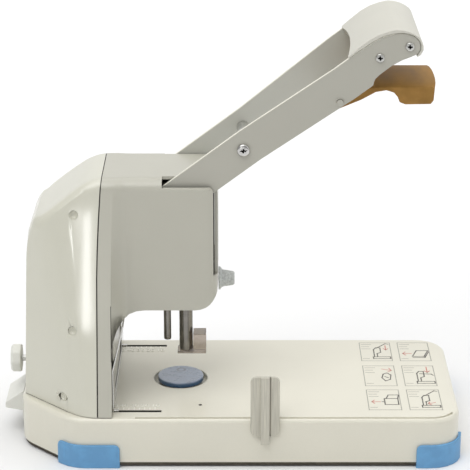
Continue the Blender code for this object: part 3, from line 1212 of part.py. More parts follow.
def build_squeeze_handle(skins):
    """The amber squeeze handle: an eye at its tail, an arched waist, a deep toe, a crowned back."""
    x, z = squeeze_pin_place()
    rings = []
    for across, crown in SQUEEZE_CROWN_SHARES:
        lift = SQUEEZE_CROWN * crown
        rings.append([(x + SQUEEZE_LENGTH * along + lift * raised * SQUEEZE_CROWN_OVERHANG,
                       SQUEEZE_HALF * across, z + SQUEEZE_LENGTH * up + lift * raised)
                      for along, up, raised in SQUEEZE_OUTLINE_SHARES])
    handle = loft("squeeze_handle", rings, skins["amber"])
    cut(handle, rod("handle_bore", SQUEEZE_PIN_RADIUS + GAP, (x, 0, z), "Y", -SQUEEZE_HALF - OVERRUN,
                    SQUEEZE_HALF + OVERRUN, None, SCREW_STEPS))
    reach = ARM_INNER + arm_offset(SQUEEZE_PIN_REACH) + ARM_THICKNESS + SQUEEZE_PIN_PROUD
    rod("squeeze_pin", SQUEEZE_PIN_RADIUS, (x, 0, z), "Y", -reach, reach, skins["zinc"], SCREW_STEPS)
    return handle


def build_all():
    clear_scene()
    skins = palette()
    build_base(skins)
    build_sole_plate(skins)
    build_feet(skins)
    build_rear_cover(skins)
    build_cover_screws(skins)
    build_head_shell(skins)
    build_frame(skins)
    build_shaft(skins)
    build_arms(skins)
    build_grip(skins)
    build_grip_screws(skins)
    build_cross_bolt(skins)
    build_sector(skins)
    build_punch(skins)
    build_presser(skins)
    build_guides(skins)
    build_pad(skins)
    build_backstop(skins)
    build_rear_knob(skins)
    build_drawer(skins)
    build_fence(skins)
    build_front_knob(skins)
    build_squeeze_handle(skins)


build_all()
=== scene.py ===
# %% [markdown]
# # Dressing a lever punch in its real finishes
#
# The model is a bench punch that drives a hollow cutter through a stack of paper with one pull of a
# long forked lever. Its solids come from a jointed CAD model, so the work here is what an eye
# sees first: soft edges, moulded skins, printed lines, real screw heads and honest surfaces.
# Every piece but the spring is fastened to the body that carries it, and so it keeps moving with
# the joints.

# %% Load the jointed model
import json
import math

import bmesh
import bpy
from mathutils import Matrix, Vector
from mathutils.bvhtree import BVHTree

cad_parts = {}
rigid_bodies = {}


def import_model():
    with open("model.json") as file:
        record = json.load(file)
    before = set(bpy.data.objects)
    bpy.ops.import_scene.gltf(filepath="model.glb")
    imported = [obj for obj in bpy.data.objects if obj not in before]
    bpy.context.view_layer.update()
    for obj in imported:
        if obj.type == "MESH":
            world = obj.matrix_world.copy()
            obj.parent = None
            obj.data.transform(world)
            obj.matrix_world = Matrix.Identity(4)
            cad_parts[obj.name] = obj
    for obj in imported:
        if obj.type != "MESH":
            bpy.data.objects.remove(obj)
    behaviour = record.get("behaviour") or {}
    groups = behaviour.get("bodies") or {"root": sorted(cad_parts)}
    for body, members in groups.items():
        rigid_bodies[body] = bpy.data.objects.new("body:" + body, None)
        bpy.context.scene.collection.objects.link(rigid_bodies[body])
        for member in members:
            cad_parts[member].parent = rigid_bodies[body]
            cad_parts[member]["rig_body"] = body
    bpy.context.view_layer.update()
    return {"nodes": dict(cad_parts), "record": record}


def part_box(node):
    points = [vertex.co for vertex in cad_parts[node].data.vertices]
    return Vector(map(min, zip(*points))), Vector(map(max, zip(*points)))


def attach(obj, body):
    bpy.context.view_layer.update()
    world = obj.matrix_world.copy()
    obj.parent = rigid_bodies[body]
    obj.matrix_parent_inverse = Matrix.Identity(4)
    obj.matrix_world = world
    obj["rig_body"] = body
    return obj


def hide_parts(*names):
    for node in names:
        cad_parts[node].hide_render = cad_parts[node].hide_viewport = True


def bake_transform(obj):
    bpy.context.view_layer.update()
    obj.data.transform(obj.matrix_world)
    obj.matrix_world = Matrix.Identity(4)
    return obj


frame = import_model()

nodes = frame["nodes"]
slot_of = {row["node"]: row["material_slot"] for row in frame["record"]["subparts"]}

# %% [markdown]
# ## Camera
#
# A picture of a product is usually taken from far away with a long lens, which keeps upright edges
# almost parallel. The camera stands 1.8 m in front of the long side and looks down by about twenty
# degrees. A lens of 152 mm on a 36 mm sensor then frames the object with a narrow white margin.

# %% Camera
CAMERA_PLACE = (0.00422, -1.79647, 0.83789)
CAMERA_TILT = math.radians(70.414)
LENS_MM = 151.66
SENSOR_MM = 36.0


def make_camera():
    """Puts the camera in its place and gives it to the scene."""
    data = bpy.data.cameras.new("camera")
    data.lens = LENS_MM
    data.sensor_width = SENSOR_MM
    camera = bpy.data.objects.new("camera", data)
    camera.location = CAMERA_PLACE
    camera.rotation_euler = (CAMERA_TILT, 0.0, 0.0)
    bpy.context.scene.collection.objects.link(camera)
    bpy.context.scene.camera = camera
    return camera


print("camera at", tuple(make_camera().location))

# %% [markdown]
# ## Light
#
# Pale plastic shows its form only through slow changes of grey, so the light is large and soft. Two
# broad suns do most of the work: one straight above, and one high on the left in front, each spread
# over a wide angle so that shadows melt away. A weak third one looks in under the head from the
# right. A white panel stands behind the object, because a surface seen at a low angle mirrors what
# stands behind it. A tiny strip far to the left gives the streak that runs down the glossy cover.

# %% Suns and panels
def aim(lamp, place, target):
    """Puts a lamp in its place and turns it towards its target."""
    lamp.location = place
    lamp.rotation_euler = (Vector(target) - Vector(place)).to_track_quat("-Z", "Y").to_euler()
    bpy.context.scene.collection.objects.link(lamp)


def add_sun(name, place, strength, spread):
    """A sun aimed at the origin; its spread is the width of its disc in degrees."""
    data = bpy.data.lights.new(name, "SUN")
    data.energy = strength
    data.angle = math.radians(spread)
    aim(bpy.data.objects.new(name, data), place, (0.0, 0.0, 0.0))


def add_panel(name, place, target, breadth, height, watts):
    """A rectangle of light that faces its target."""
    data = bpy.data.lights.new(name, "AREA")
    data.shape = "RECTANGLE"
    data.size = breadth
    data.size_y = height
    data.energy = watts
    aim(bpy.data.objects.new(name, data), place, target)


print("lamp helpers ready")

# %% Studio light
SKY_STRENGTH = 0.42

add_sun("top_sun", place=(0.1, 0.35, 2.0), strength=1.32, spread=70.0)
add_sun("key_sun", place=(-0.75, -0.95, 2.0), strength=1.20, spread=45.0)
add_sun("fill_sun", place=(2.0, -0.3, 1.0), strength=0.45, spread=60.0)
add_panel("back_panel", place=(0.0, 2.2, 0.9), target=(0.0, 0.0, 0.1),
          breadth=4.0, height=1.6, watts=9.0)
add_panel("strip_panel", place=(-0.2420, -1.475, 0.304), target=(-0.138, -0.075, 0.180),
          breadth=0.016, height=0.20, watts=0.31)

world = bpy.data.worlds.new("studio")
bpy.context.scene.world = world
world.use_nodes = True
sky = world.node_tree.nodes["Background"]
sky.inputs["Color"].default_value = (1.0, 1.0, 1.0, 1.0)
sky.inputs["Strength"].default_value = SKY_STRENGTH
bpy.context.scene.view_settings.view_transform = "Standard"

# %% [markdown]
# ## Writing materials as sums
#
# A procedural material is a chain of small nodes, and a long chain is hard to read in Python. The
# class below wraps one socket and lets it stand in ordinary sums, so that `1 - mask * 0.2` adds
# the Math nodes by itself. Colours are blended by a Mix node, because a Math node would turn them
# grey. Every other node comes from one method that takes its type, its settings and its sockets.

# %% A socket that can be used in sums
class Paint:
    """One socket of a material's nodes, usable in Python sums as if it were a number."""

    def __init__(self, tree, socket=None):
        self.tree = tree
        self.socket = socket

    def node(self, kind, settings=None, sockets=None, output=0):
        """Adds any node: its settings first, then a value or a link for each socket."""
        made = self.tree.nodes.new("ShaderNode" + kind)
        for name, value in (settings or {}).items():
            setattr(made, name, value)
        for key, value in (sockets or {}).items():
            if isinstance(value, Paint):
                self.tree.links.new(value.socket, made.inputs[key])
            else:
                made.inputs[key].default_value = value
        return Paint(self.tree, made.outputs[output])

    def maths(self, operation, *values):
        """Adds one Math node on these values."""
        return self.node("Math", {"operation": operation}, dict(enumerate(values)))

    def __add__(self, other):
        return self.maths("ADD", self, other)

    def __radd__(self, other):
        return self.maths("ADD", other, self)

    def __sub__(self, other):
        return self.maths("SUBTRACT", self, other)

    def __rsub__(self, other):
        return self.maths("SUBTRACT", other, self)

    def __mul__(self, other):
        return self.maths("MULTIPLY", self, other)

    def __rmul__(self, other):
        return self.maths("MULTIPLY", other, self)

    def blend(self, low, high):
        """Goes from one colour to another as this value goes from 0 to 1."""
        return self.node("Mix", {"data_type": "RGBA"}, {0: self, 6: low, 7: high}, 2)


print("sums of sockets ready")

# %% [markdown]
# ## Patterns that the finishes share
#
# Real surfaces are never one even colour. Three patterns cover most of what hands and tools leave
# behind: a cloudy drift of tone, a fine grain, and long scratches that follow one direction. All of
# them read the object's own coordinates in metres, so they keep their true size on every piece and
# don't slide when a joint moves.

# %% Shared patterns
def object_place(material):
    """The start of every pattern: the place on the piece, in metres."""
    return Paint(material.node_tree).node("TexCoord", None, None, "Object")


def stretched(place, x, y, z):
    """The same place with each axis scaled, which draws a pattern out along the smallest one."""
    return place.node("VectorMath", {"operation": "MULTIPLY"}, {0: place, 1: (x, y, z)})


def cloud(place, size, detail=2.0):
    """A soft drift between 0 and 1 with lumps of about this size in metres."""
    return place.node("TexNoise", None, {"Vector": place, "Scale": 1.0 / size, "Detail": detail})


def stepped(value, low, high):
    """Spreads the part of a pattern between two levels over the whole range."""
    return value.node("MapRange", None, {"Value": value, "From Min": low, "From Max": high})


def tint(colour, factor):
    """A colour made lighter or darker."""
    return tuple(min(1.0, channel * factor) for channel in colour[:3]) + (1.0,)


def relief(height, strength, depth):
    """Turns a height pattern into a surface direction; depth is in metres."""
    return height.node("Bump", None, {"Height": height, "Strength": strength, "Distance": depth},
                       "Normal")


def start_finish(name, colour, roughness, metallic=0.0, **fixed):
    """A Principled material with its constant values set on the shader's own sockets."""
    material = bpy.data.materials.new(name)
    material.use_nodes = True
    shader = material.node_tree.nodes["Principled BSDF"]
    shader.inputs["Base Color"].default_value = tint(colour, 1.0)
    shader.inputs["Roughness"].default_value = roughness
    shader.inputs["Metallic"].default_value = metallic
    for socket, value in fixed.items():
        shader.inputs[socket.replace("_", " ")].default_value = value
    return material


def feed(material, **inputs):
    """Links patterns to the shader: feed(material, Base_Color=..., Roughness=...)."""
    shader = material.node_tree.nodes["Principled BSDF"]
    for socket, value in inputs.items():
        material.node_tree.links.new(value.socket, shader.inputs[socket.replace("_", " ")])
    return material


print("patterns ready")

# %% [markdown]
# ## Moulded and painted skins
#
# The base is a casting under a thick ivory enamel. Sprayed enamel never dries quite flat: it keeps
# a shallow ripple, like the skin of an orange, and slowly yellows in patches. The column, the grip
# and the rear knob are moulded plastic, whose steel mould was given a fine even grain. One function
# makes them all, because they differ only in colour, gloss and the size of that grain. The rear
# cover has the highest polish. The faces inside the hollows get a dark dull skin, which is painted
# shade for the light that doesn't reach them.

# %% One recipe for enamel and moulded plastic
WIDE_BAND = (0.30, 0.70)
NARROW_BAND = (0.35, 0.65)
RUB_BAND = (0.35, 0.75)
DRIFT_SIZE = 0.060
RUB_SIZE = 0.022
SPECK_SHARE = 0.8
PATCH_SHARE = 0.75
MOULD_DRIFT = 0.03
MOULD_WEAR = 0.04
MOULD_RELIEF = 0.35


def make_moulded(name, colour, roughness, grain, depth, **fixed):
    """A pale skin with a slow drift of tone, faint specks, rubbed patches and an even grain."""
    material = start_finish(name, colour, roughness, 0.0, **fixed)
    place = object_place(material)
    patches = stepped(cloud(place, DRIFT_SIZE, 3.0), *WIDE_BAND)
    specks = stepped(cloud(place, grain * SPECK_SHARE, 1.0), *NARROW_BAND)
    tone = patches * PATCH_SHARE + specks * (1.0 - PATCH_SHARE)
    shade = tone.blend(tint(colour, 1.0 - MOULD_DRIFT), tint(colour, 1.0 + MOULD_DRIFT / 2))
    rubbed = stepped(cloud(place, RUB_SIZE, 4.0), *RUB_BAND)
    return feed(material, Base_Color=shade,
                Roughness=rubbed * MOULD_WEAR + (roughness - MOULD_WEAR / 2),
                Normal=relief(cloud(place, grain), MOULD_RELIEF, depth))


print("one recipe with wear of", MOULD_WEAR)

# %% Enamel, plastics and painted steel
ENAMEL = (0.715, 0.692, 0.590)
STONE = (0.480, 0.470, 0.402)
# Painted light: the rear cover is the column's plastic, painted lighter for the light on its
# leaning flank.
COVER_LIT_STONE = (0.625, 0.616, 0.522)
IVORY = (0.600, 0.588, 0.518)
WHITE = (0.715, 0.715, 0.660)
SILVER_PAINT = (0.450, 0.440, 0.382)
# Painted light: the far arm has the near arm's paint, lightened against the shade the near arm
# throws on it.
FAR_ARM_LIT_PAINT = (0.545, 0.545, 0.490)
# Painted highlight: how much lighter the arms' upward faces are painted.
EDGE_HIGHLIGHT = 1.75
# Painted shade: the dark skin of faces inside the hollow mouldings, in their gaps and on slot lips.
HOLLOW_SHADE = (0.045, 0.042, 0.036)
# Painted highlight: the raised scale is the base's enamel, painted lighter.
SCALE_HIGHLIGHT_WHITE = (0.860, 0.845, 0.770)

skins = {
    "enamel": make_moulded("ivory_enamel", ENAMEL, 0.34, grain=0.0022, depth=0.00006,
                           Coat_Weight=0.25, Coat_Roughness=0.12),
    "shell": make_moulded("stone_plastic", STONE, 0.32, grain=0.0016, depth=0.00004,
                          Coat_Weight=0.15, Coat_Roughness=0.18),
    "steel": make_moulded("painted_steel", SILVER_PAINT, 0.40, grain=0.0011, depth=0.00006),
    "grip": make_moulded("grip_plastic", IVORY, 0.42, grain=0.0009, depth=0.00008),
    "knob": make_moulded("white_knob_plastic", WHITE, 0.38, grain=0.0010, depth=0.00005),
}
cover_lit_skin = make_moulded("glossy_stone_painted_light", COVER_LIT_STONE, 0.40, grain=0.0016, depth=0.00003,
                          Coat_Weight=0.60, Coat_Roughness=0.065)
scale_highlight_skin = make_moulded("raised_scale_painted_highlight", SCALE_HIGHLIGHT_WHITE, 0.40, grain=0.0010, depth=0.00002)
far_arm_lit_skin = make_moulded("far_arm_painted_light", FAR_ARM_LIT_PAINT, 0.40, grain=0.0011, depth=0.00006)
edge_highlight_skin = make_moulded("painted_edge_highlight", tint(SILVER_PAINT, EDGE_HIGHLIGHT), 0.30, grain=0.0008,
                         depth=0.00003)
hollow_shade_skin = make_moulded("dark_painted_shade", HOLLOW_SHADE, 0.80, grain=0.0020, depth=0.00020)
print("moulded finishes", sorted(skins))

# %% [markdown]
# ## Rubber and amber plastic
#
# The corner boots are soft rubber: dull, a little dusty, with a fine pebbled skin. The squeeze
# handle is moulded in amber nylon and is so thick that it looks brown. Its tone drifts with the
# flow of the melt, which is a pattern drawn out along the handle's width, and it mirrors very
# little.

# %% Rubber and amber
BLUE_RUBBER = (0.130, 0.330, 0.575)
AMBER = (0.335, 0.186, 0.055)
DUST_SIZE = 0.012
DUST_BAND = (0.45, 0.80)
DUST_SHARE = 0.22
PEBBLE_SIZE = 0.0009
FLOW_SIZE = 0.016
FLOW_STRETCH = 0.35
AMBER_GRAIN = 0.0014


def make_rubber(name, colour):
    """Dull rubber with a pebbled skin and pale dust."""
    material = start_finish(name, colour, 0.58)
    place = object_place(material)
    dust = stepped(cloud(place, DUST_SIZE, 4.0), *DUST_BAND)
    shade = (dust * DUST_SHARE).blend(tint(colour, 0.95), tint(colour, 1.9))
    return feed(material, Base_Color=shade, Roughness=dust * 0.15 + 0.50,
                Normal=relief(cloud(place, PEBBLE_SIZE, 1.0), 0.5, 0.00012))


def make_amber(name, colour):
    """Thick nylon whose tone follows the flow of the melt."""
    material = start_finish(name, colour, 0.45, 0.0, Specular_IOR_Level=0.06)
    place = object_place(material)
    flow = stepped(cloud(stretched(place, 1.0, FLOW_STRETCH, 1.0), FLOW_SIZE, 3.0), *WIDE_BAND)
    shade = flow.blend(tint(colour, 0.78), tint(colour, 1.18))
    return feed(material, Base_Color=shade, Roughness=flow * 0.10 + 0.40,
                Normal=relief(cloud(place, AMBER_GRAIN), 0.3, 0.00010))


skins["rubber"] = make_rubber("blue_rubber", BLUE_RUBBER)
skins["amber"] = make_amber("amber_plastic", AMBER)
print("soft finishes", skins["rubber"].name, "and", skins["amber"].name)

# %% [markdown]
# ## The turning pad
#
# The pad is a disc of hard blue plastic that was faced on a lathe, which leaves rings about its
# axis. The box of the solid gives the axis, so the rings are a wave of the distance from it. The
# punch has left one round mark in the pad, as far from the axis as the punch stands. Paper has worn
# fine cuts into the top, and the side of the disc is painted a deeper blue, as painted shade.

# %% Where the pad and the punch stand
def box_of(node):
    """The low corner, the high corner and the middle of the box of one CAD solid."""
    low, high = (Vector(corner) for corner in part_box(node))
    return low, high, (low + high) / 2


pad_low, pad_high, pad_middle = box_of("cutting_pad")
punch_low, punch_high, punch_middle = box_of("hollow_punch")
PAD_X, PUNCH_X = pad_middle.x, punch_middle.x
PAD_RADIUS, PUNCH_RADIUS = pad_high.y, punch_high.y
PAD_BOTTOM, PAD_TOP = pad_low.z, pad_high.z
print("pad", round(PAD_X, 4), "punch", round(PUNCH_X, 4), "punch radius", round(PUNCH_RADIUS, 5))

# %% Finish of the pad
PAD_BLUE = (0.200, 0.255, 0.350)
# Painted shade: the side of the disc below its top is painted this deeper blue.
PAD_EDGE_SHADE = (0.045, 0.105, 0.200, 1.0)
EDGE_SHADE_START, EDGE_SHADE_FULL = 0.0004, 0.0010
LATHE_PITCH = 0.0009
MARK_WIDTH = 0.0016
MARK_SHARE = 0.85
MARK_DEPTH = 4.0
CUT_SIZE = 0.0060
CUT_BAND = (0.40, 0.70)


def ring_distance(place, centre_x, centre_y):
    """Distance in metres from an upright axis."""
    flat = stretched(place, 1.0, 1.0, 0.0)
    return flat.node("VectorMath", {"operation": "DISTANCE"},
                     {0: flat, 1: (centre_x, centre_y, 0.0)}, "Value")


def punch_mark(place):
    """1 on the ring that the punch has pressed into the pad, and 0 elsewhere."""
    away = ring_distance(place, PAD_X, PAD_X - PUNCH_X) - PUNCH_RADIUS
    return stepped(away.maths("ABSOLUTE", away), MARK_WIDTH, 0.0)


def make_pad(name, colour):
    """Faced plastic with lathe rings, one punch mark, worn cuts and painted shade on its side."""
    material = start_finish(name, colour, 0.28, 0.0, Coat_Weight=1.0, Coat_Roughness=0.10)
    place = object_place(material)
    waves = ring_distance(place, PAD_X, 0.0) * (math.tau / LATHE_PITCH)
    rings = waves.maths("SINE", waves)
    mark = punch_mark(place)
    cuts = stepped(cloud(place, CUT_SIZE, 4.0), *CUT_BAND)
    worn = cuts.blend(tint(colour, 0.92), tint(colour, 1.10))
    marked = (mark * MARK_SHARE).blend(worn, tint(colour, 0.06))
    height = place.node("SeparateXYZ", None, {"Vector": place}, "Z")
    edge = stepped(height, PAD_TOP - EDGE_SHADE_START, PAD_TOP - EDGE_SHADE_FULL)
    return feed(material, Base_Color=edge.blend(marked, PAD_EDGE_SHADE),
                Roughness=cuts * 0.10 + 0.26,
                Normal=relief(rings * 0.5 - mark * MARK_DEPTH, 0.25, 0.00005))


skins["pad"] = make_pad("blue_pad", PAD_BLUE)
print("pad finish", skins["pad"].name)

# %% [markdown]
# ## Metals
#
# Chrome, zinc, bronze and blackened steel are the same shader with the metallic value at one. What
# tells them apart is the tool mark: a ground rod has fine rings round its axis, and zinc plate has
# a cloudy bloom. The rings are noise that is squeezed along the upright axis. The punch and the
# presser's rod are hardened, which darkens the steel.

# %% Metals
EVEN = (1.0, 1.0, 1.0)
RINGS = (1.0, 1.0, 4.0)
FINE_RINGS = (1.0, 1.0, 6.0)
TOOL_MARK_SIZE = 0.0011
BLOOM_SIZE = 0.007


def make_metal(name, colour, roughness, squeeze, depth, bloom=0.10):
    """Bare metal with the marks of a tool and a cloudy bloom."""
    material = start_finish(name, colour, roughness, 1.0)
    place = object_place(material)
    marks = cloud(stretched(place, *squeeze), TOOL_MARK_SIZE, 3.0)
    clouds = stepped(cloud(place, BLOOM_SIZE, 3.0), *WIDE_BAND)
    shade = clouds.blend(tint(colour, 1.0 - bloom), tint(colour, 1.0 + bloom))
    return feed(material, Base_Color=shade,
                Roughness=clouds * 0.08 + marks * 0.10 + (roughness - 0.08),
                Normal=relief(marks, 0.4, depth))


skins["chrome"] = make_metal("chrome", (0.600, 0.595, 0.580), 0.16, RINGS, 0.00002)
skins["zinc"] = make_metal("zinc", (0.600, 0.600, 0.575), 0.34, EVEN, 0.00006, bloom=0.18)
skins["bronze"] = make_metal("bronze_bush", (0.560, 0.380, 0.190), 0.38, EVEN, 0.00006, bloom=0.15)
skins["dark"] = make_metal("blackened_steel", (0.100, 0.088, 0.072), 0.48, EVEN, 0.00008,
                           bloom=0.20)
rod_skin = make_metal("hardened_rod", (0.230, 0.218, 0.198), 0.15, FINE_RINGS, 0.00001,
                      bloom=0.14)
print("metals made, the last one", rod_skin.name)

# %% [markdown]
# ## Cast knob, brushed fence and smoked acrylic
#
# The small front knob is cast and only tumbled, so it is rough and mottled. The side fence has a
# brushed face whose marks run upwards. The presser's foot is a block of smoked acrylic, which lets
# the paper's edge be seen through it; it gets real transmission instead of a lighter colour.

# %% Cast, brushed and clear
CAST_GRAIN = 0.0013
MOTTLE_SIZE = 0.0016
BRUSH_STRETCH = 0.035
HAZE_SIZE = 0.006
HAZE_BAND = (0.35, 0.70)


def make_cast(name, colour):
    """A tumbled casting, rough and mottled."""
    material = start_finish(name, colour, 0.60, 0.10)
    place = object_place(material)
    mottle = stepped(cloud(place, MOTTLE_SIZE, 4.0), *NARROW_BAND)
    shade = mottle.blend(tint(colour, 0.80), tint(colour, 1.16))
    return feed(material, Base_Color=shade, Roughness=mottle * 0.15 + 0.50,
                Normal=relief(cloud(place, CAST_GRAIN, 3.0), 0.9, 0.00045))


def make_brushed(name, colour):
    """A face with brush marks that run upwards."""
    material = start_finish(name, colour, 0.42)
    place = stretched(object_place(material), 1.0, 1.0, BRUSH_STRETCH)
    marks = cloud(place, TOOL_MARK_SIZE, 4.0)
    bands = stepped(marks, *NARROW_BAND)
    shade = bands.blend(tint(colour, 0.86), tint(colour, 1.10))
    return feed(material, Base_Color=shade, Roughness=bands * 0.12 + 0.36,
                Normal=relief(marks, 0.5, 0.00010))


def make_clear(name, colour):
    """Smoked plastic with a faint haze."""
    material = start_finish(name, colour, 0.10, 0.0, Transmission_Weight=0.75, IOR=1.49)
    haze = stepped(cloud(object_place(material), HAZE_SIZE, 3.0), *HAZE_BAND)
    shade = haze.blend(tint(colour, 0.94), tint(colour, 1.04))
    return feed(material, Base_Color=shade, Roughness=haze * 0.12 + 0.08)


skins["cast"] = make_cast("cast_knob", (0.540, 0.560, 0.545))
skins["fence"] = make_brushed("brushed_fence", (0.530, 0.510, 0.430))
skins["clear"] = make_clear("smoked_acrylic", (0.540, 0.470, 0.400))
print("finishes for", len(skins), "slots")

# %% [markdown]
# ## Every solid gets its finish
#
# The record says which finish each CAD solid has. Most solids are hidden inside the column, but
# some come into view when the lever swings or the drawer slides, so all of them are painted first.
# Those that the eye meets from outside are then replaced by copies with softened edges.

# %% Paint the CAD solids
# The far arm takes its lightened copy of the paint, which is painted light.
own_skins = {"rear_cover": cover_lit_skin, "presser_rod": rod_skin, "hollow_punch": rod_skin,
             "arm_far": far_arm_lit_skin, "squeeze_pin": skins["steel"]}


def skin_of(node):
    """The finish of one CAD solid: its own, or else that of its slot."""
    return own_skins.get(node, skins[slot_of[node]])


for node, thing in nodes.items():
    thing.data.materials.clear()
    thing.data.materials.append(skin_of(node))
print("painted", len(nodes), "solids")

# %% [markdown]
# ## Soft edges on a clean copy
#
# No moulded or pressed edge is perfectly sharp, and a sharp one gives a render away at once,
# because it catches no light. A CAD mesh comes as loose triangles, so a copy is first merged and
# its flat facets joined. Then the corner edges get a narrow round bevel, and a Weighted Normal
# modifier keeps the broad faces flat while the bevels turn. A bevel that is clamped shrinks
# everywhere to fit the shortest edge of the solid. The clamp is off, and a corner that ends at an
# edge shorter than ROOM times the bevel's width is left out instead.

# %% Clean copies and bevels
MERGE = 0.00001
FLAT_ANGLE = math.radians(0.8)
CORNER_ANGLE = math.radians(35.0)
ROOM = 2.2


def clean_copy(node):
    """An editable copy of one CAD solid, merged and with its flat facets joined."""
    work = bmesh.new()
    work.from_mesh(nodes[node].data)
    bmesh.ops.remove_doubles(work, verts=work.verts, dist=MERGE)
    bmesh.ops.dissolve_limit(work, angle_limit=FLAT_ANGLE, verts=work.verts, edges=work.edges)
    return work


def soften(work, width, segments=2):
    """Rounds the outer corner edges of a solid, apart from those that end at a very short edge."""
    short = [edge for edge in work.edges if edge.calc_length() < ROOM * width]
    crowded = {vert for edge in short for vert in edge.verts}
    corners = [edge for edge in work.edges if len(edge.link_faces) == 2 and edge.is_convex
               and edge.calc_face_angle(0.0) > CORNER_ANGLE and crowded.isdisjoint(edge.verts)]
    bmesh.ops.bevel(work, geom=corners, offset=width, offset_type="OFFSET", segments=segments,
                    profile=0.5, affect="EDGES", clamp_overlap=False, material=-1)


print("corners over", round(math.degrees(CORNER_ANGLE)), "degrees are rounded")

# %% [markdown]
# A finished mesh becomes an object at the origin with its place in its mesh. It gets its finish
# and the body that carries it. Most pieces also take the place of one CAD solid, and many of those
# are its copy with nothing but softer edges.

# %% Finished pieces
SMOOTH_ANGLE = math.radians(40.0)


def keep_piece(work, name, body, finishes, replaced=(), weighted=True):
    """Makes the finished mesh an object, painted and fastened to its body if it has one."""
    mesh = bpy.data.meshes.new(name)
    work.to_mesh(mesh)
    work.free()
    for finish in finishes:
        mesh.materials.append(finish)
    mesh.shade_smooth()
    mesh.set_sharp_from_angle(angle=SMOOTH_ANGLE)
    thing = bpy.data.objects.new(name, mesh)
    bpy.context.scene.collection.objects.link(thing)
    if weighted:
        shading = thing.modifiers.new("even_shading", "WEIGHTED_NORMAL")
        shading.keep_sharp = True
    if body:
        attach(thing, body)
    if replaced:
        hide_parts(*replaced)
    return thing


def stand_for(node, work, *inner):
    """The finished mesh takes the place of one CAD solid, on the same body and with its finish."""
    faces = len(work.faces)
    thing = keep_piece(work, node + "_skin", nodes[node]["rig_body"],
                       (skin_of(node), *inner), (node,))
    print(thing.name, faces, "faces")
    return thing


def dress(node, width, segments=2):
    """Replaces one CAD solid by a copy with softened edges."""
    work = clean_copy(node)
    soften(work, width, segments)
    return stand_for(node, work)


print("faces turn smooth under", round(math.degrees(SMOOTH_ANGLE)), "degrees")

# %% [markdown]
# ## Housing, column and head
#
# These three are the largest mouldings. The base is one casting with a well for the pad and a slot
# on each side for the backstop. The column is split into a rear cover and a front shell that runs
# on into the head. All of them are hollow, and their openings get painted shade. A face belongs to
# the inside when a ray that leaves it meets the same moulding again, and such a face gets the dark
# skin of painted shade. The pad's well, the shallow groove and the screw pockets are open to the
# light, so they are left out of that test. The rounded lips of the slots lie in shadow, so they get
# the painted shade too.

# %% Find the faces that look inwards
BASE_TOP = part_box("base_housing")[1][2]
WELL_REACH = 0.027
WELL_FLOOR = 0.044
GROOVE_REACH = 0.0024
GROOVE_START_Y = 0.0835
CORNER_START_X = 0.150
SLOT_Y = 0.0802
SLOT_LIP = 0.0024
SLOT_ENDS = (-0.1165, -0.0655)
LIP_TILT = (0.01, 0.98)
POCKET_REACH = 0.0055
RAY_START = 0.0002
RAY_REACH = 0.25

pocket_axes = [box_of(node)[2] for node in sorted(nodes) if node.startswith("cover_screw")]


def open_to_light(middle):
    """Whether a place is in the pad's well, in the groove of the base's top or in a pocket."""
    in_well = math.hypot(middle.x - PAD_X, middle.y) < WELL_REACH and middle.z > WELL_FLOOR
    in_groove = (BASE_TOP - GROOVE_REACH < middle.z < BASE_TOP
                 and (abs(middle.y) > GROOVE_START_Y or middle.x > CORNER_START_X))
    in_pocket = any(math.hypot(middle.x - axis.x, middle.z - axis.z) < POCKET_REACH
                    for axis in pocket_axes)
    return in_well or in_groove or in_pocket


def on_slot_lip(face, middle):
    """Whether a face is the rounded lip of a slot in the base's top."""
    beside = abs(abs(middle.y) - SLOT_Y) < SLOT_LIP and SLOT_ENDS[0] < middle.x < SLOT_ENDS[1]
    return beside and LIP_TILT[0] < face.normal.z < LIP_TILT[1]


def darken_inside(work):
    """Gives painted shade to the faces that look at another wall of their own piece."""
    work.normal_update()
    walls = BVHTree.FromBMesh(work)
    for face in work.faces:
        middle = face.calc_center_median()
        meets = walls.ray_cast(middle + face.normal * RAY_START, face.normal, RAY_REACH)[0]
        if (meets and not open_to_light(middle)) or on_slot_lip(face, middle):
            face.material_index = 1
    return sum(face.material_index for face in work.faces)


print("base top at", round(BASE_TOP, 4), "with", len(pocket_axes), "screw pockets above it")

# %% [markdown]
# Where the rear cover meets the head, and where both stand on the base, there is a fine gap between
# rounded edges. No light reaches the faces that look into it, so they get the painted shade as
# well. A face looks one way when its normal has more than FACING of that direction in it. Each
# shell is listed with the width of its bevel and the side on which it meets the other. The head's
# top and its cheeks share long faces with the arm slots, so the head is first cut in two levels.

# %% Large mouldings
SEAM_REACH = 0.012
FOOT_LINE = BASE_TOP + 0.004
CHEEK_LEVEL = 0.2605
FACING = 0.35
SHELLS = (("base_housing", 0.0004, 0), ("rear_cover", 0.00045, 1), ("head_shell", 0.00045, -1))
FOOT_ROUND = 0.0007


def cut_across(work, place, normal):
    """Adds the edges of one plane's cut and keeps both halves."""
    bmesh.ops.bisect_plane(work, geom=work.verts[:] + work.edges[:] + work.faces[:],
                           plane_co=place, plane_no=normal)


def darken_gap(work, side):
    """Gives painted shade to edge faces that look at the next moulding or at the base."""
    seam = max(side * vert.co.x for vert in work.verts)
    for face in work.faces:
        middle = face.calc_center_median()
        beside_seam = side * face.normal.x > FACING and side * middle.x > seam - SEAM_REACH
        if beside_seam or (face.normal.z < -FACING and middle.z < FOOT_LINE):
            face.material_index = 1


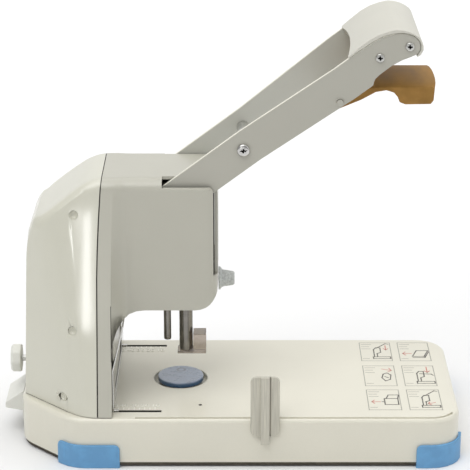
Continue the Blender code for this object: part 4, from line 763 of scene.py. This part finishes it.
# Each shell gets painted shade inside and, beside its seam and its foot, in the gap.
for node, width, seam_side in SHELLS:
    shell = clean_copy(node)
    soften(shell, width)
    if node == "head_shell":
        cut_across(shell, (0.0, 0.0, CHEEK_LEVEL), (0.0, 0.0, 1.0))
    print(node, darken_inside(shell), "dark faces")
    if seam_side:
        darken_gap(shell, seam_side)
    stand_for(node, shell, hollow_shade_skin)
for node in ("foot_front_near", "foot_front_far", "foot_rear_near", "foot_rear_far"):
    dress(node, FOOT_ROUND)

# %% [markdown]
# ## Lever, grip and squeeze handle
#
# The two arms are pressed steel with a narrow rolled edge. The faces that look up from the raised
# lever are painted lighter along their whole length, as a painted highlight. The grip is a fat
# moulding that wraps their ends, and its edges are rounded in three steps, because a hand pulls on
# it. The amber handle below it is squeezed to let the lever go.

# %% Lever pieces
ARM_ROUND = 0.0006
UP_FROM_LEVER = Vector((-0.6, 0.0, 0.8))
# Faces that look up from the lever get the painted highlight skin.
for node in ("arm_near", "arm_far"):
    arm = clean_copy(node)
    soften(arm, ARM_ROUND)
    arm.normal_update()
    for face in arm.faces:
        if face.normal.dot(UP_FROM_LEVER) > FACING:
            face.material_index = 1
    stand_for(node, arm, edge_highlight_skin)
for node, width, segments in (("grip", 0.0006, 3), ("squeeze_handle", 0.0009, 3),
                              ("cross_nut", 0.0005, 2)):
    dress(node, width, segments)

# %% [markdown]
# ## Backstop, fence, knobs and drawer
#
# Small fittings get the same treatment with bevels of their own. The backstop is bent from bright
# sheet, so its edges are the sharpest. The two knobs keep the finger lobes of their solids.

# %% Fittings
FITTINGS = (("backstop_plate", 0.00025), ("rear_knob", 0.0005), ("front_knob", 0.0004),
            ("drawer_pull", 0.0007), ("chip_drawer", 0.0004), ("presser_foot", 0.0006))
for node, width in FITTINGS:
    dress(node, width)

# %% [markdown]
# The fence is one plate with a raised rib. Along the rib's right side there is a narrow channel
# that is always in shadow. Two cuts with a plane mark it out on the plate, and the strip between
# them is then pushed in.

# %% Fence with a shadow channel
CHANNEL_EDGES = (0.0367, 0.0378)
CHANNEL_DEPTH = 0.0016
PLATE_MIDDLE = -0.1010
FENCE_ROUND = 0.0003
TO_THE_FRONT = -0.9


def in_channel(face):
    """Whether a face of the plate's front lies between the two cuts."""
    middle = face.calc_center_median()
    return (face.normal.y < TO_THE_FRONT and middle.y < PLATE_MIDDLE
            and CHANNEL_EDGES[0] < middle.x < CHANNEL_EDGES[1])


def push_in(work, faces, shift):
    """Sinks some faces of a solid and returns the corners of the new floor."""
    pushed = bmesh.ops.extrude_face_region(work, geom=faces)["geom"]
    floor = [item for item in pushed if isinstance(item, bmesh.types.BMVert)]
    bmesh.ops.translate(work, verts=floor, vec=shift)
    bmesh.ops.delete(work, geom=faces, context="FACES")
    return floor


fence = clean_copy("side_fence")
for x in CHANNEL_EDGES:
    cut_across(fence, (x, 0.0, 0.0), (1.0, 0.0, 0.0))
strip = [face for face in fence.faces if in_channel(face)]
print("channel floor with", len(push_in(fence, strip, (0.0, CHANNEL_DEPTH, 0.0))), "corners")
bmesh.ops.recalc_face_normals(fence, faces=fence.faces)
soften(fence, FENCE_ROUND)
stand_for("side_fence", fence)

# %% [markdown]
# ## Turned pieces
#
# The pad, the hollow punch and the presser's rod come off a lathe, and the plugs over the deep
# screws are round too. Blender's spin is the same thing: a half profile is drawn once, as pairs of
# a radius and a height, and swept round the axis. A profile can then have the small chamfers and
# rings that catch the light, which the plain solids don't have. The sweep ends where it began, so
# the first and the last row are merged.

# %% The lathe
LATHE_STEPS = 64


def spun(profile, closed=False):
    """A turned solid about the Z axis from (radius, height) pairs."""
    work = bmesh.new()
    corners = [work.verts.new((radius, 0.0, height)) for radius, height in profile]
    ends = zip(corners, corners[1:] + corners[:1]) if closed else zip(corners, corners[1:])
    line = [work.edges.new(pair) for pair in ends]
    bmesh.ops.spin(work, geom=corners + line, cent=(0.0, 0.0, 0.0), axis=(0.0, 0.0, 1.0),
                   angle=math.tau, steps=LATHE_STEPS, use_merge=True)
    bmesh.ops.remove_doubles(work, verts=work.verts, dist=MERGE)
    bmesh.ops.recalc_face_normals(work, faces=work.faces)
    return work


def set_in_place(work, centre, outward=(0.0, 0.0, 1.0)):
    """Turns a piece that was made upright to face outward, and moves it to its centre."""
    turn = Vector(outward).to_track_quat("Z", "Y").to_matrix().to_4x4()
    bmesh.ops.transform(work, matrix=Matrix.Translation(centre) @ turn, verts=work.verts)
    return work


print("lathe with", LATHE_STEPS, "steps")

# %% [markdown]
# The pad has a rolled rim and a very shallow dish, and the punch is ground to a cutting edge with a
# bevelled bore. The rod is chamfered at both ends and has a rounded collar for its spring.

# %% Turned pad
PAD_CHAMFER = 0.0008
PAD_ROLL = 0.0009
PAD_DISH = 0.0002

pad_profile = [(0.0, PAD_BOTTOM), (PAD_RADIUS - PAD_CHAMFER, PAD_BOTTOM),
               (PAD_RADIUS, PAD_BOTTOM + PAD_CHAMFER), (PAD_RADIUS, PAD_TOP - PAD_ROLL),
               (PAD_RADIUS - PAD_ROLL / 3, PAD_TOP - PAD_ROLL / 3),
               (PAD_RADIUS - PAD_ROLL, PAD_TOP),
               (PAD_RADIUS - 2 * PAD_CHAMFER, PAD_TOP - PAD_DISH / 2),
               (PAD_RADIUS / 2, PAD_TOP - PAD_DISH), (0.0, PAD_TOP - PAD_DISH)]
stand_for("cutting_pad", set_in_place(spun(pad_profile), (PAD_X, 0.0, 0.0)))

# %% Hollow punch
PUNCH_BORE = 0.0023
BORE_BEVEL = 0.0008
EDGE_SETBACK = 0.0005
EDGE_CHAMFER = 0.0002
GRIND_HEIGHT = 0.0016
RING_HEIGHT = 0.0048
RING_DEPTH = 0.0001

tip, punch_top = punch_low.z, punch_high.z
punch_profile = [(PUNCH_BORE, tip + BORE_BEVEL), (PUNCH_RADIUS - EDGE_SETBACK, tip),
                 (PUNCH_RADIUS - EDGE_SETBACK + EDGE_CHAMFER, tip + EDGE_CHAMFER),
                 (PUNCH_RADIUS, tip + GRIND_HEIGHT),
                 (PUNCH_RADIUS, tip + RING_HEIGHT - 2 * RING_DEPTH),
                 (PUNCH_RADIUS - RING_DEPTH, tip + RING_HEIGHT),
                 (PUNCH_RADIUS, tip + RING_HEIGHT + 2 * RING_DEPTH),
                 (PUNCH_RADIUS, punch_top), (PUNCH_BORE, punch_top)]
stand_for("hollow_punch", set_in_place(spun(punch_profile, True), (PUNCH_X, 0.0, 0.0)))

# %% Presser rod
PRESSER_RADIUS = 0.0066
ROD_CHAMFER = 0.0006
ROD_TOP_CHAMFER = 0.0008
COLLAR_LOW, COLLAR_HIGH = 0.1920, 0.1970
COLLAR_ROUND = 0.0005

rod_low, rod_high, rod_middle = box_of("presser_rod")
PRESSER_X, COLLAR_RADIUS = rod_middle.x, rod_high.y
rod_profile = [(0.0, rod_low.z), (PRESSER_RADIUS - ROD_CHAMFER, rod_low.z),
               (PRESSER_RADIUS, rod_low.z + ROD_CHAMFER), (PRESSER_RADIUS, COLLAR_LOW),
               (COLLAR_RADIUS - COLLAR_ROUND, COLLAR_LOW),
               (COLLAR_RADIUS, COLLAR_LOW + COLLAR_ROUND),
               (COLLAR_RADIUS, COLLAR_HIGH - COLLAR_ROUND),
               (COLLAR_RADIUS - COLLAR_ROUND, COLLAR_HIGH), (PRESSER_RADIUS, COLLAR_HIGH),
               (PRESSER_RADIUS, rod_high.z - ROD_TOP_CHAMFER),
               (PRESSER_RADIUS - ROD_TOP_CHAMFER, rod_high.z), (0.0, rod_high.z)]
stand_for("presser_rod", set_in_place(spun(rod_profile), (PRESSER_X, 0.0, 0.0)))

# %% [markdown]
# The rod's spring is pressed together when the lever comes down. Its lower end rests on a guide
# that belongs to the column, and its upper end follows the collar of the rod. So it rides on no
# single body, and its copy is left unfastened where it stands at rest.

# %% Spring between the guide and the rod
coil = keep_piece(clean_copy("presser_spring"), "presser_spring_coil", None,
                  (skin_of("presser_spring"),), ("presser_spring",),
                  weighted=False)
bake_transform(coil)

# %% [markdown]
# ## Screws with a cross recess
#
# Every screw here has a pan head with a cross recess, and at close range the recess is what makes
# it a screw. The cross is a grid of three by three faces without its corners. It is pushed down and
# drawn in, and its rim is bridged to a circle, from which the dome, the shank and the end grow ring
# by ring. All the screws come from this one function, the big domed bolt across the lever too, and
# each takes its size and place from the box of the solid that it stands for.

# %% One function for every screw
SCREW_SIDES = 24
CROSS_SHARE = 0.50
BOLT_CROSS_SHARE = 0.34
CROWN_SHARE = 0.66
SINK_SHARE = 0.60
SINK_DEPTH = 0.38
HEAD_SHARES = ((0.84, 0.16), (0.95, 0.38), (1.0, 0.70), (1.0, 1.0))


def sunk_cross(work, reach, depth):
    """A cross-shaped hole in the plane z = 0; returns the edges of its rim."""
    bmesh.ops.create_grid(work, x_segments=3, y_segments=3, size=reach)
    corners = [face for face in work.faces
               if min(abs(value) for value in face.calc_center_median()[:2]) > reach / 3]
    bmesh.ops.delete(work, geom=corners, context="FACES")
    floor = push_in(work, list(work.faces), (0.0, 0.0, -depth))
    bmesh.ops.scale(work, verts=floor, vec=(SINK_SHARE, SINK_SHARE, 1.0))
    return [edge for edge in work.edges if edge.is_boundary]


def next_ring(work, edges, factor, drop):
    """Grows one more ring from an open rim, drawn in or out by a factor and moved down."""
    grown = bmesh.ops.extrude_edge_only(work, edges=edges)["geom"]
    verts = [item for item in grown if isinstance(item, bmesh.types.BMVert)]
    bmesh.ops.scale(work, verts=verts, vec=(factor, factor, 1.0))
    bmesh.ops.translate(work, verts=verts, vec=(0.0, 0.0, -drop))
    return [item for item in grown if isinstance(item, bmesh.types.BMEdge)]


def cross_screw(head, height, shank, length, cross_share):
    """A pan-head screw that points down, with the top of its head at the origin."""
    work = bmesh.new()
    rim = sunk_cross(work, head * cross_share, height * SINK_DEPTH)
    circle = bmesh.ops.create_circle(work, segments=SCREW_SIDES, radius=head * CROWN_SHARE)["verts"]
    ring = list({edge for vert in circle for edge in vert.link_edges})
    bmesh.ops.bridge_loops(work, edges=rim + ring)
    radius, drop = CROWN_SHARE, 0.0
    for next_radius, next_drop in HEAD_SHARES:
        ring = next_ring(work, ring, next_radius / radius, height * (next_drop - drop))
        radius, drop = next_radius, next_drop
    ring = next_ring(work, ring, shank / head, 0.0)
    ring = next_ring(work, ring, 1.0, length - height)
    bmesh.ops.contextual_create(work, geom=ring)
    bmesh.ops.recalc_face_normals(work, faces=work.faces)
    return work


print("a screw has", SCREW_SIDES, "sides and", len(HEAD_SHARES), "rings in its head")

# %% All the screws
SCREW_KINDS = (("grip_screw", ("rear", "tip"), 0.0016, 0.0019),
               ("cover_screw", ("top", "middle", "bottom"), 0.0016, 0.0019),
               ("plate_screw", ("front", "rear"), 0.0010, 0.0018))
BOLT_HEAD_HEIGHT = 0.0032
BOLT_SHANK = 0.0035

screws = [(f"{kind}_{place}_{side}", head_height, shank, CROSS_SHARE)
          for kind, places, head_height, shank in SCREW_KINDS
          for place in places for side in ("near", "far")]
screws += [("cross_bolt", BOLT_HEAD_HEIGHT, BOLT_SHANK, BOLT_CROSS_SHARE)]
for node, head_height, shank, cross_share in screws:
    low, high, middle = box_of(node)
    size = high - low
    if node.startswith("plate"):
        outward, length = Vector((0.0, 0.0, -1.0)), size.z
    else:
        outward, length = Vector((0.0, 1.0 if node.endswith("far") else -1.0, 0.0)), size.y
    screw = cross_screw(size.x / 2, head_height, shank, length, cross_share)
    stand_for(node, set_in_place(screw, middle + outward * length / 2, outward))

# %% [markdown]
# Each screw of the rear cover sits deep in a pocket, and a dished plastic plug closes the pocket
# just below the surface. Two rays, one below the pocket and one above, find the surface and the way
# that it faces, so the plug lies flush on the leaning side.

# %% Plugs over the deep screws
COVER_RADIUS = 0.0040
DISH = ((0.0, 0.0027), (0.40, 0.0025), (0.70, 0.0017), (0.88, 0.0005), (1.0, 0.0006),
        (1.0, 0.0045), (0.0, 0.0045))
PROBE_STEP = 0.0062
PROBE_START = 0.2

# The plugs take the cover's lighter skin, its painted light included.
dished = [(COVER_RADIUS * share, -depth) for share, depth in DISH]
cover_solid = clean_copy("rear_cover")
cover_walls = BVHTree.FromBMesh(cover_solid)
cover_solid.free()
for number, axis in enumerate(pocket_axes):
    side = math.copysign(1.0, axis.y)
    starts = [Vector((axis.x, side * PROBE_START, axis.z + step))
              for step in (-PROBE_STEP, PROBE_STEP)]
    below, above = (cover_walls.ray_cast(start, Vector((0.0, -side, 0.0))) for start in starts)
    mouth = (below[0] + above[0]) / 2
    outward = (below[1] + above[1]).normalized()
    plug = set_in_place(spun(dished), mouth, outward)
    piece = keep_piece(plug, f"screw_cover_{number}", "base", (cover_lit_skin,),
                       weighted=False)
    print(piece.name, "at", [round(value, 4) for value in mouth])

# %% [markdown]
# ## Depth scale beside the slots
#
# The backstop slides in two slots, and beside each there is a moulded scale that says how far the
# edge of the paper will be from the punch, in millimetres. The ticks are small bars and the numbers
# are Blender's own text, made a mesh before it is placed. Both stand a fraction of a millimetre
# proud, because they are part of the casting, and are painted lighter than the enamel as a painted
# highlight.

# %% Bars and numbers on the base
SCALE_HEIGHT = 0.00045
NUMBER_SIZE = 0.0085


def stroke(work, start, end, width, height):
    """A thin flat bar on the base's top, from one (x, y) point to another."""
    run = Vector(end) - Vector(start)
    middle = (Vector(start) + Vector(end)) / 2
    turn = Matrix.Rotation(math.atan2(run.y, run.x), 4, "Z")
    size = Matrix.Diagonal((run.length + width, width, height, 1.0))
    place = Matrix.Translation((middle.x, middle.y, BASE_TOP + height / 2))
    bmesh.ops.create_cube(work, size=1.0, matrix=place @ turn @ size)


def add_number(work, number, x, y):
    """Writes a number on the base's top, centred on x with its foot at y."""
    curve = bpy.data.curves.new("number", "FONT")
    curve.body, curve.align_x = str(number), "CENTER"
    curve.size, curve.extrude = NUMBER_SIZE, SCALE_HEIGHT / 2
    written = bpy.data.objects.new("number", curve)
    mesh = bpy.data.meshes.new_from_object(written)
    mesh.transform(Matrix.Translation((x, y, BASE_TOP + SCALE_HEIGHT / 2)))
    work.from_mesh(mesh)
    bpy.data.objects.remove(written)


print("scale stands", SCALE_HEIGHT * 1000, "mm proud")

# %% Both scales
SLOT_INNER = 0.0770
TICK_WIDTH = 0.0009
LONG_TICK, SHORT_TICK = 0.0045, 0.0030
NUMBER_GAP = 0.0060
DIGIT_SHARE = 0.7

digits_foot = {"near": -SLOT_INNER + NUMBER_GAP,
               "far": SLOT_INNER - NUMBER_GAP - NUMBER_SIZE * DIGIT_SHARE}
for side, sign in (("near", -1.0), ("far", 1.0)):
    scale = bmesh.new()
    for depth in range(10, 51, 5):
        x = PUNCH_X - depth / 1000
        whole = depth % 10 == 0
        reach = LONG_TICK if whole else SHORT_TICK
        stroke(scale, (x, sign * SLOT_INNER), (x, sign * (SLOT_INNER - reach)), TICK_WIDTH,
               SCALE_HEIGHT)
        if whole:
            add_number(scale, depth, x, digits_foot[side])
    print("scale", side, len(scale.faces), "faces")
    keep_piece(scale, "depth_scale_" + side, "base", (scale_highlight_skin,), weighted=False)

# %% [markdown]
# ## Printed step pictures
#
# Six framed pictures are printed on the front of the base and show how to use the tool. They are
# plain line symbols: sheets, a lever, arrows, a knob and a drawer. Ink has almost no thickness, so
# each line is a bar of five hundredths of a millimetre. Each colour is one mesh, and the lines of a
# picture are given in shares of its frame.

# %% Ink
INK_COLOURS = {"frame": ("grey_ink", (0.290, 0.280, 0.245)),
               "line": ("dark_ink", (0.065, 0.060, 0.055)),
               "accent": ("red_ink", (0.560, 0.190, 0.150))}
INK_BLOT = 0.0024
INK_BAND = (0.40, 0.75)
INK_FADE = 0.4


def make_ink(name, colour):
    """Screen-printed ink, a little uneven and worn."""
    material = start_finish(name, colour, 0.55)
    worn = stepped(cloud(object_place(material), INK_BLOT, 3.0), *INK_BAND)
    shade = (worn * INK_FADE).blend(tint(colour, 1.0), tint(ENAMEL, 0.8))
    return feed(material, Base_Color=shade, Roughness=worn * 0.15 + 0.45)


inks = {ink: make_ink(name, colour) for ink, (name, colour) in INK_COLOURS.items()}
print("inks", sorted(inks))

# %% Chains and arrows
BARB_SHARE = 0.3


def chain(ink, *points):
    """Strokes of one ink from point to point."""
    return tuple((ink, *pair) for pair in zip(points, points[1:]))


def arrow(tail, tip):
    """An accent arrow with two short barbs."""
    (x, y), (tip_x, tip_y) = tail, tip
    back_x, back_y = (x - tip_x) * BARB_SHARE, (y - tip_y) * BARB_SHARE
    left_barb = (tip_x + back_x - back_y, tip_y + back_y + back_x)
    right_barb = (tip_x + back_x + back_y, tip_y + back_y - back_x)
    return chain("accent", tail, tip) + chain("accent", left_barb, tip, right_barb)


print("an arrow has", len(arrow((0.0, 0.0), (1.0, 0.0))), "strokes")

# %% Symbols
NOTE_LINES = (("frame", (0.06, 0.90), (0.38, 0.90)), ("frame", (0.06, 0.78), (0.30, 0.78)),
              ("frame", (0.06, 0.66), (0.34, 0.66)), ("frame", (0.06, 0.12), (0.26, 0.12)))
TOOL = (chain("line", (0.40, 0.12), (0.96, 0.12), (0.96, 0.22), (0.40, 0.22), (0.40, 0.12))
        + chain("line", (0.44, 0.22), (0.44, 0.62), (0.52, 0.72), (0.66, 0.72), (0.66, 0.46),
                (0.54, 0.40), (0.54, 0.22)))
LEVER_UP = chain("line", (0.54, 0.70), (0.86, 0.95), (0.94, 0.92))
LEVER_DOWN = chain("line", (0.54, 0.60), (0.90, 0.58), (0.95, 0.52))
SHEETS = (chain("line", (0.42, 0.24), (0.80, 0.24), (0.96, 0.56), (0.58, 0.56), (0.42, 0.24))
          + chain("line", (0.44, 0.18), (0.82, 0.18), (0.98, 0.50)))
DRAWER = (chain("line", (0.52, 0.26), (0.94, 0.26), (0.94, 0.56), (0.52, 0.56), (0.52, 0.26))
          + chain("line", (0.58, 0.56), (0.66, 0.74), (0.98, 0.74), (0.94, 0.56))
          + chain("line", (0.52, 0.40), (0.44, 0.40)))
KNOB = (chain("line", (0.56, 0.40), (0.62, 0.58), (0.74, 0.64), (0.86, 0.54), (0.82, 0.32),
              (0.66, 0.24), (0.56, 0.40))
        + chain("line", (0.66, 0.46), (0.76, 0.40)))
PICTURES = (TOOL + LEVER_UP + arrow((0.84, 0.84), (0.84, 0.60)),
            SHEETS + arrow((0.40, 0.40), (0.12, 0.40)),
            KNOB + arrow((0.60, 0.84), (0.90, 0.76)),
            TOOL + LEVER_DOWN + arrow((0.78, 0.94), (0.78, 0.66)),
            DRAWER + arrow((0.38, 0.40), (0.12, 0.40)),
            TOOL + LEVER_UP + arrow((0.82, 0.36), (0.60, 0.30)))
print("pictures of", [len(picture) for picture in PICTURES], "strokes")

# %% Print the six pictures
INK_HEIGHT = 0.00005
INK_WIDTHS = {"frame": 0.0008, "line": 0.0012, "accent": 0.0011}
FRAME_COLUMNS = ((0.132, 0.163), (0.171, 0.202))
FRAME_ROWS = ((0.0879, 0.0410), (0.0283, -0.0209), (-0.0305, -0.0770))


def frame_lines(left, right, back, front):
    """The four lines of one frame, each as a pair of points."""
    corners = ((left, back), (right, back), (right, front), (left, front))
    return zip(corners, corners[1:] + corners[:1])


sheets = {ink: bmesh.new() for ink in inks}
places = [(column, row) for row in FRAME_ROWS for column in FRAME_COLUMNS]
for ((left, right), (back, front)), picture in zip(places, PICTURES):
    for start, end in frame_lines(left, right, back, front):
        stroke(sheets["frame"], start, end, INK_WIDTHS["frame"], INK_HEIGHT)
    for ink, *ends in NOTE_LINES + picture:
        start, end = ((left + (right - left) * x, front + (back - front) * y) for x, y in ends)
        stroke(sheets[ink], start, end, INK_WIDTHS[ink], INK_HEIGHT)
for ink, sheet in sheets.items():
    print("print in", ink, len(sheet.faces), "faces")
    keep_piece(sheet, "print_" + ink, "base", (inks[ink],), weighted=False)

# %% [markdown]
#
# The floor is one wide pale disc and isn't part of the object.

FLOOR_RADIUS = 4.0
FLOOR_GREY = (0.80, 0.80, 0.80)


def make_floor():
    """A flat disc under the object, kept out of the part itself."""
    work = bmesh.new()
    bmesh.ops.create_circle(work, cap_ends=True, segments=64, radius=FLOOR_RADIUS)
    mesh = bpy.data.meshes.new("floor")
    work.to_mesh(mesh)
    work.free()
    floor = bpy.data.objects.new("floor", mesh)
    mesh.materials.append(start_finish("pale_floor", FLOOR_GREY, 0.9))
    bpy.context.scene.collection.objects.link(floor)
    return floor


print("floor", make_floor().name, "reaches", FLOOR_RADIUS, "m")
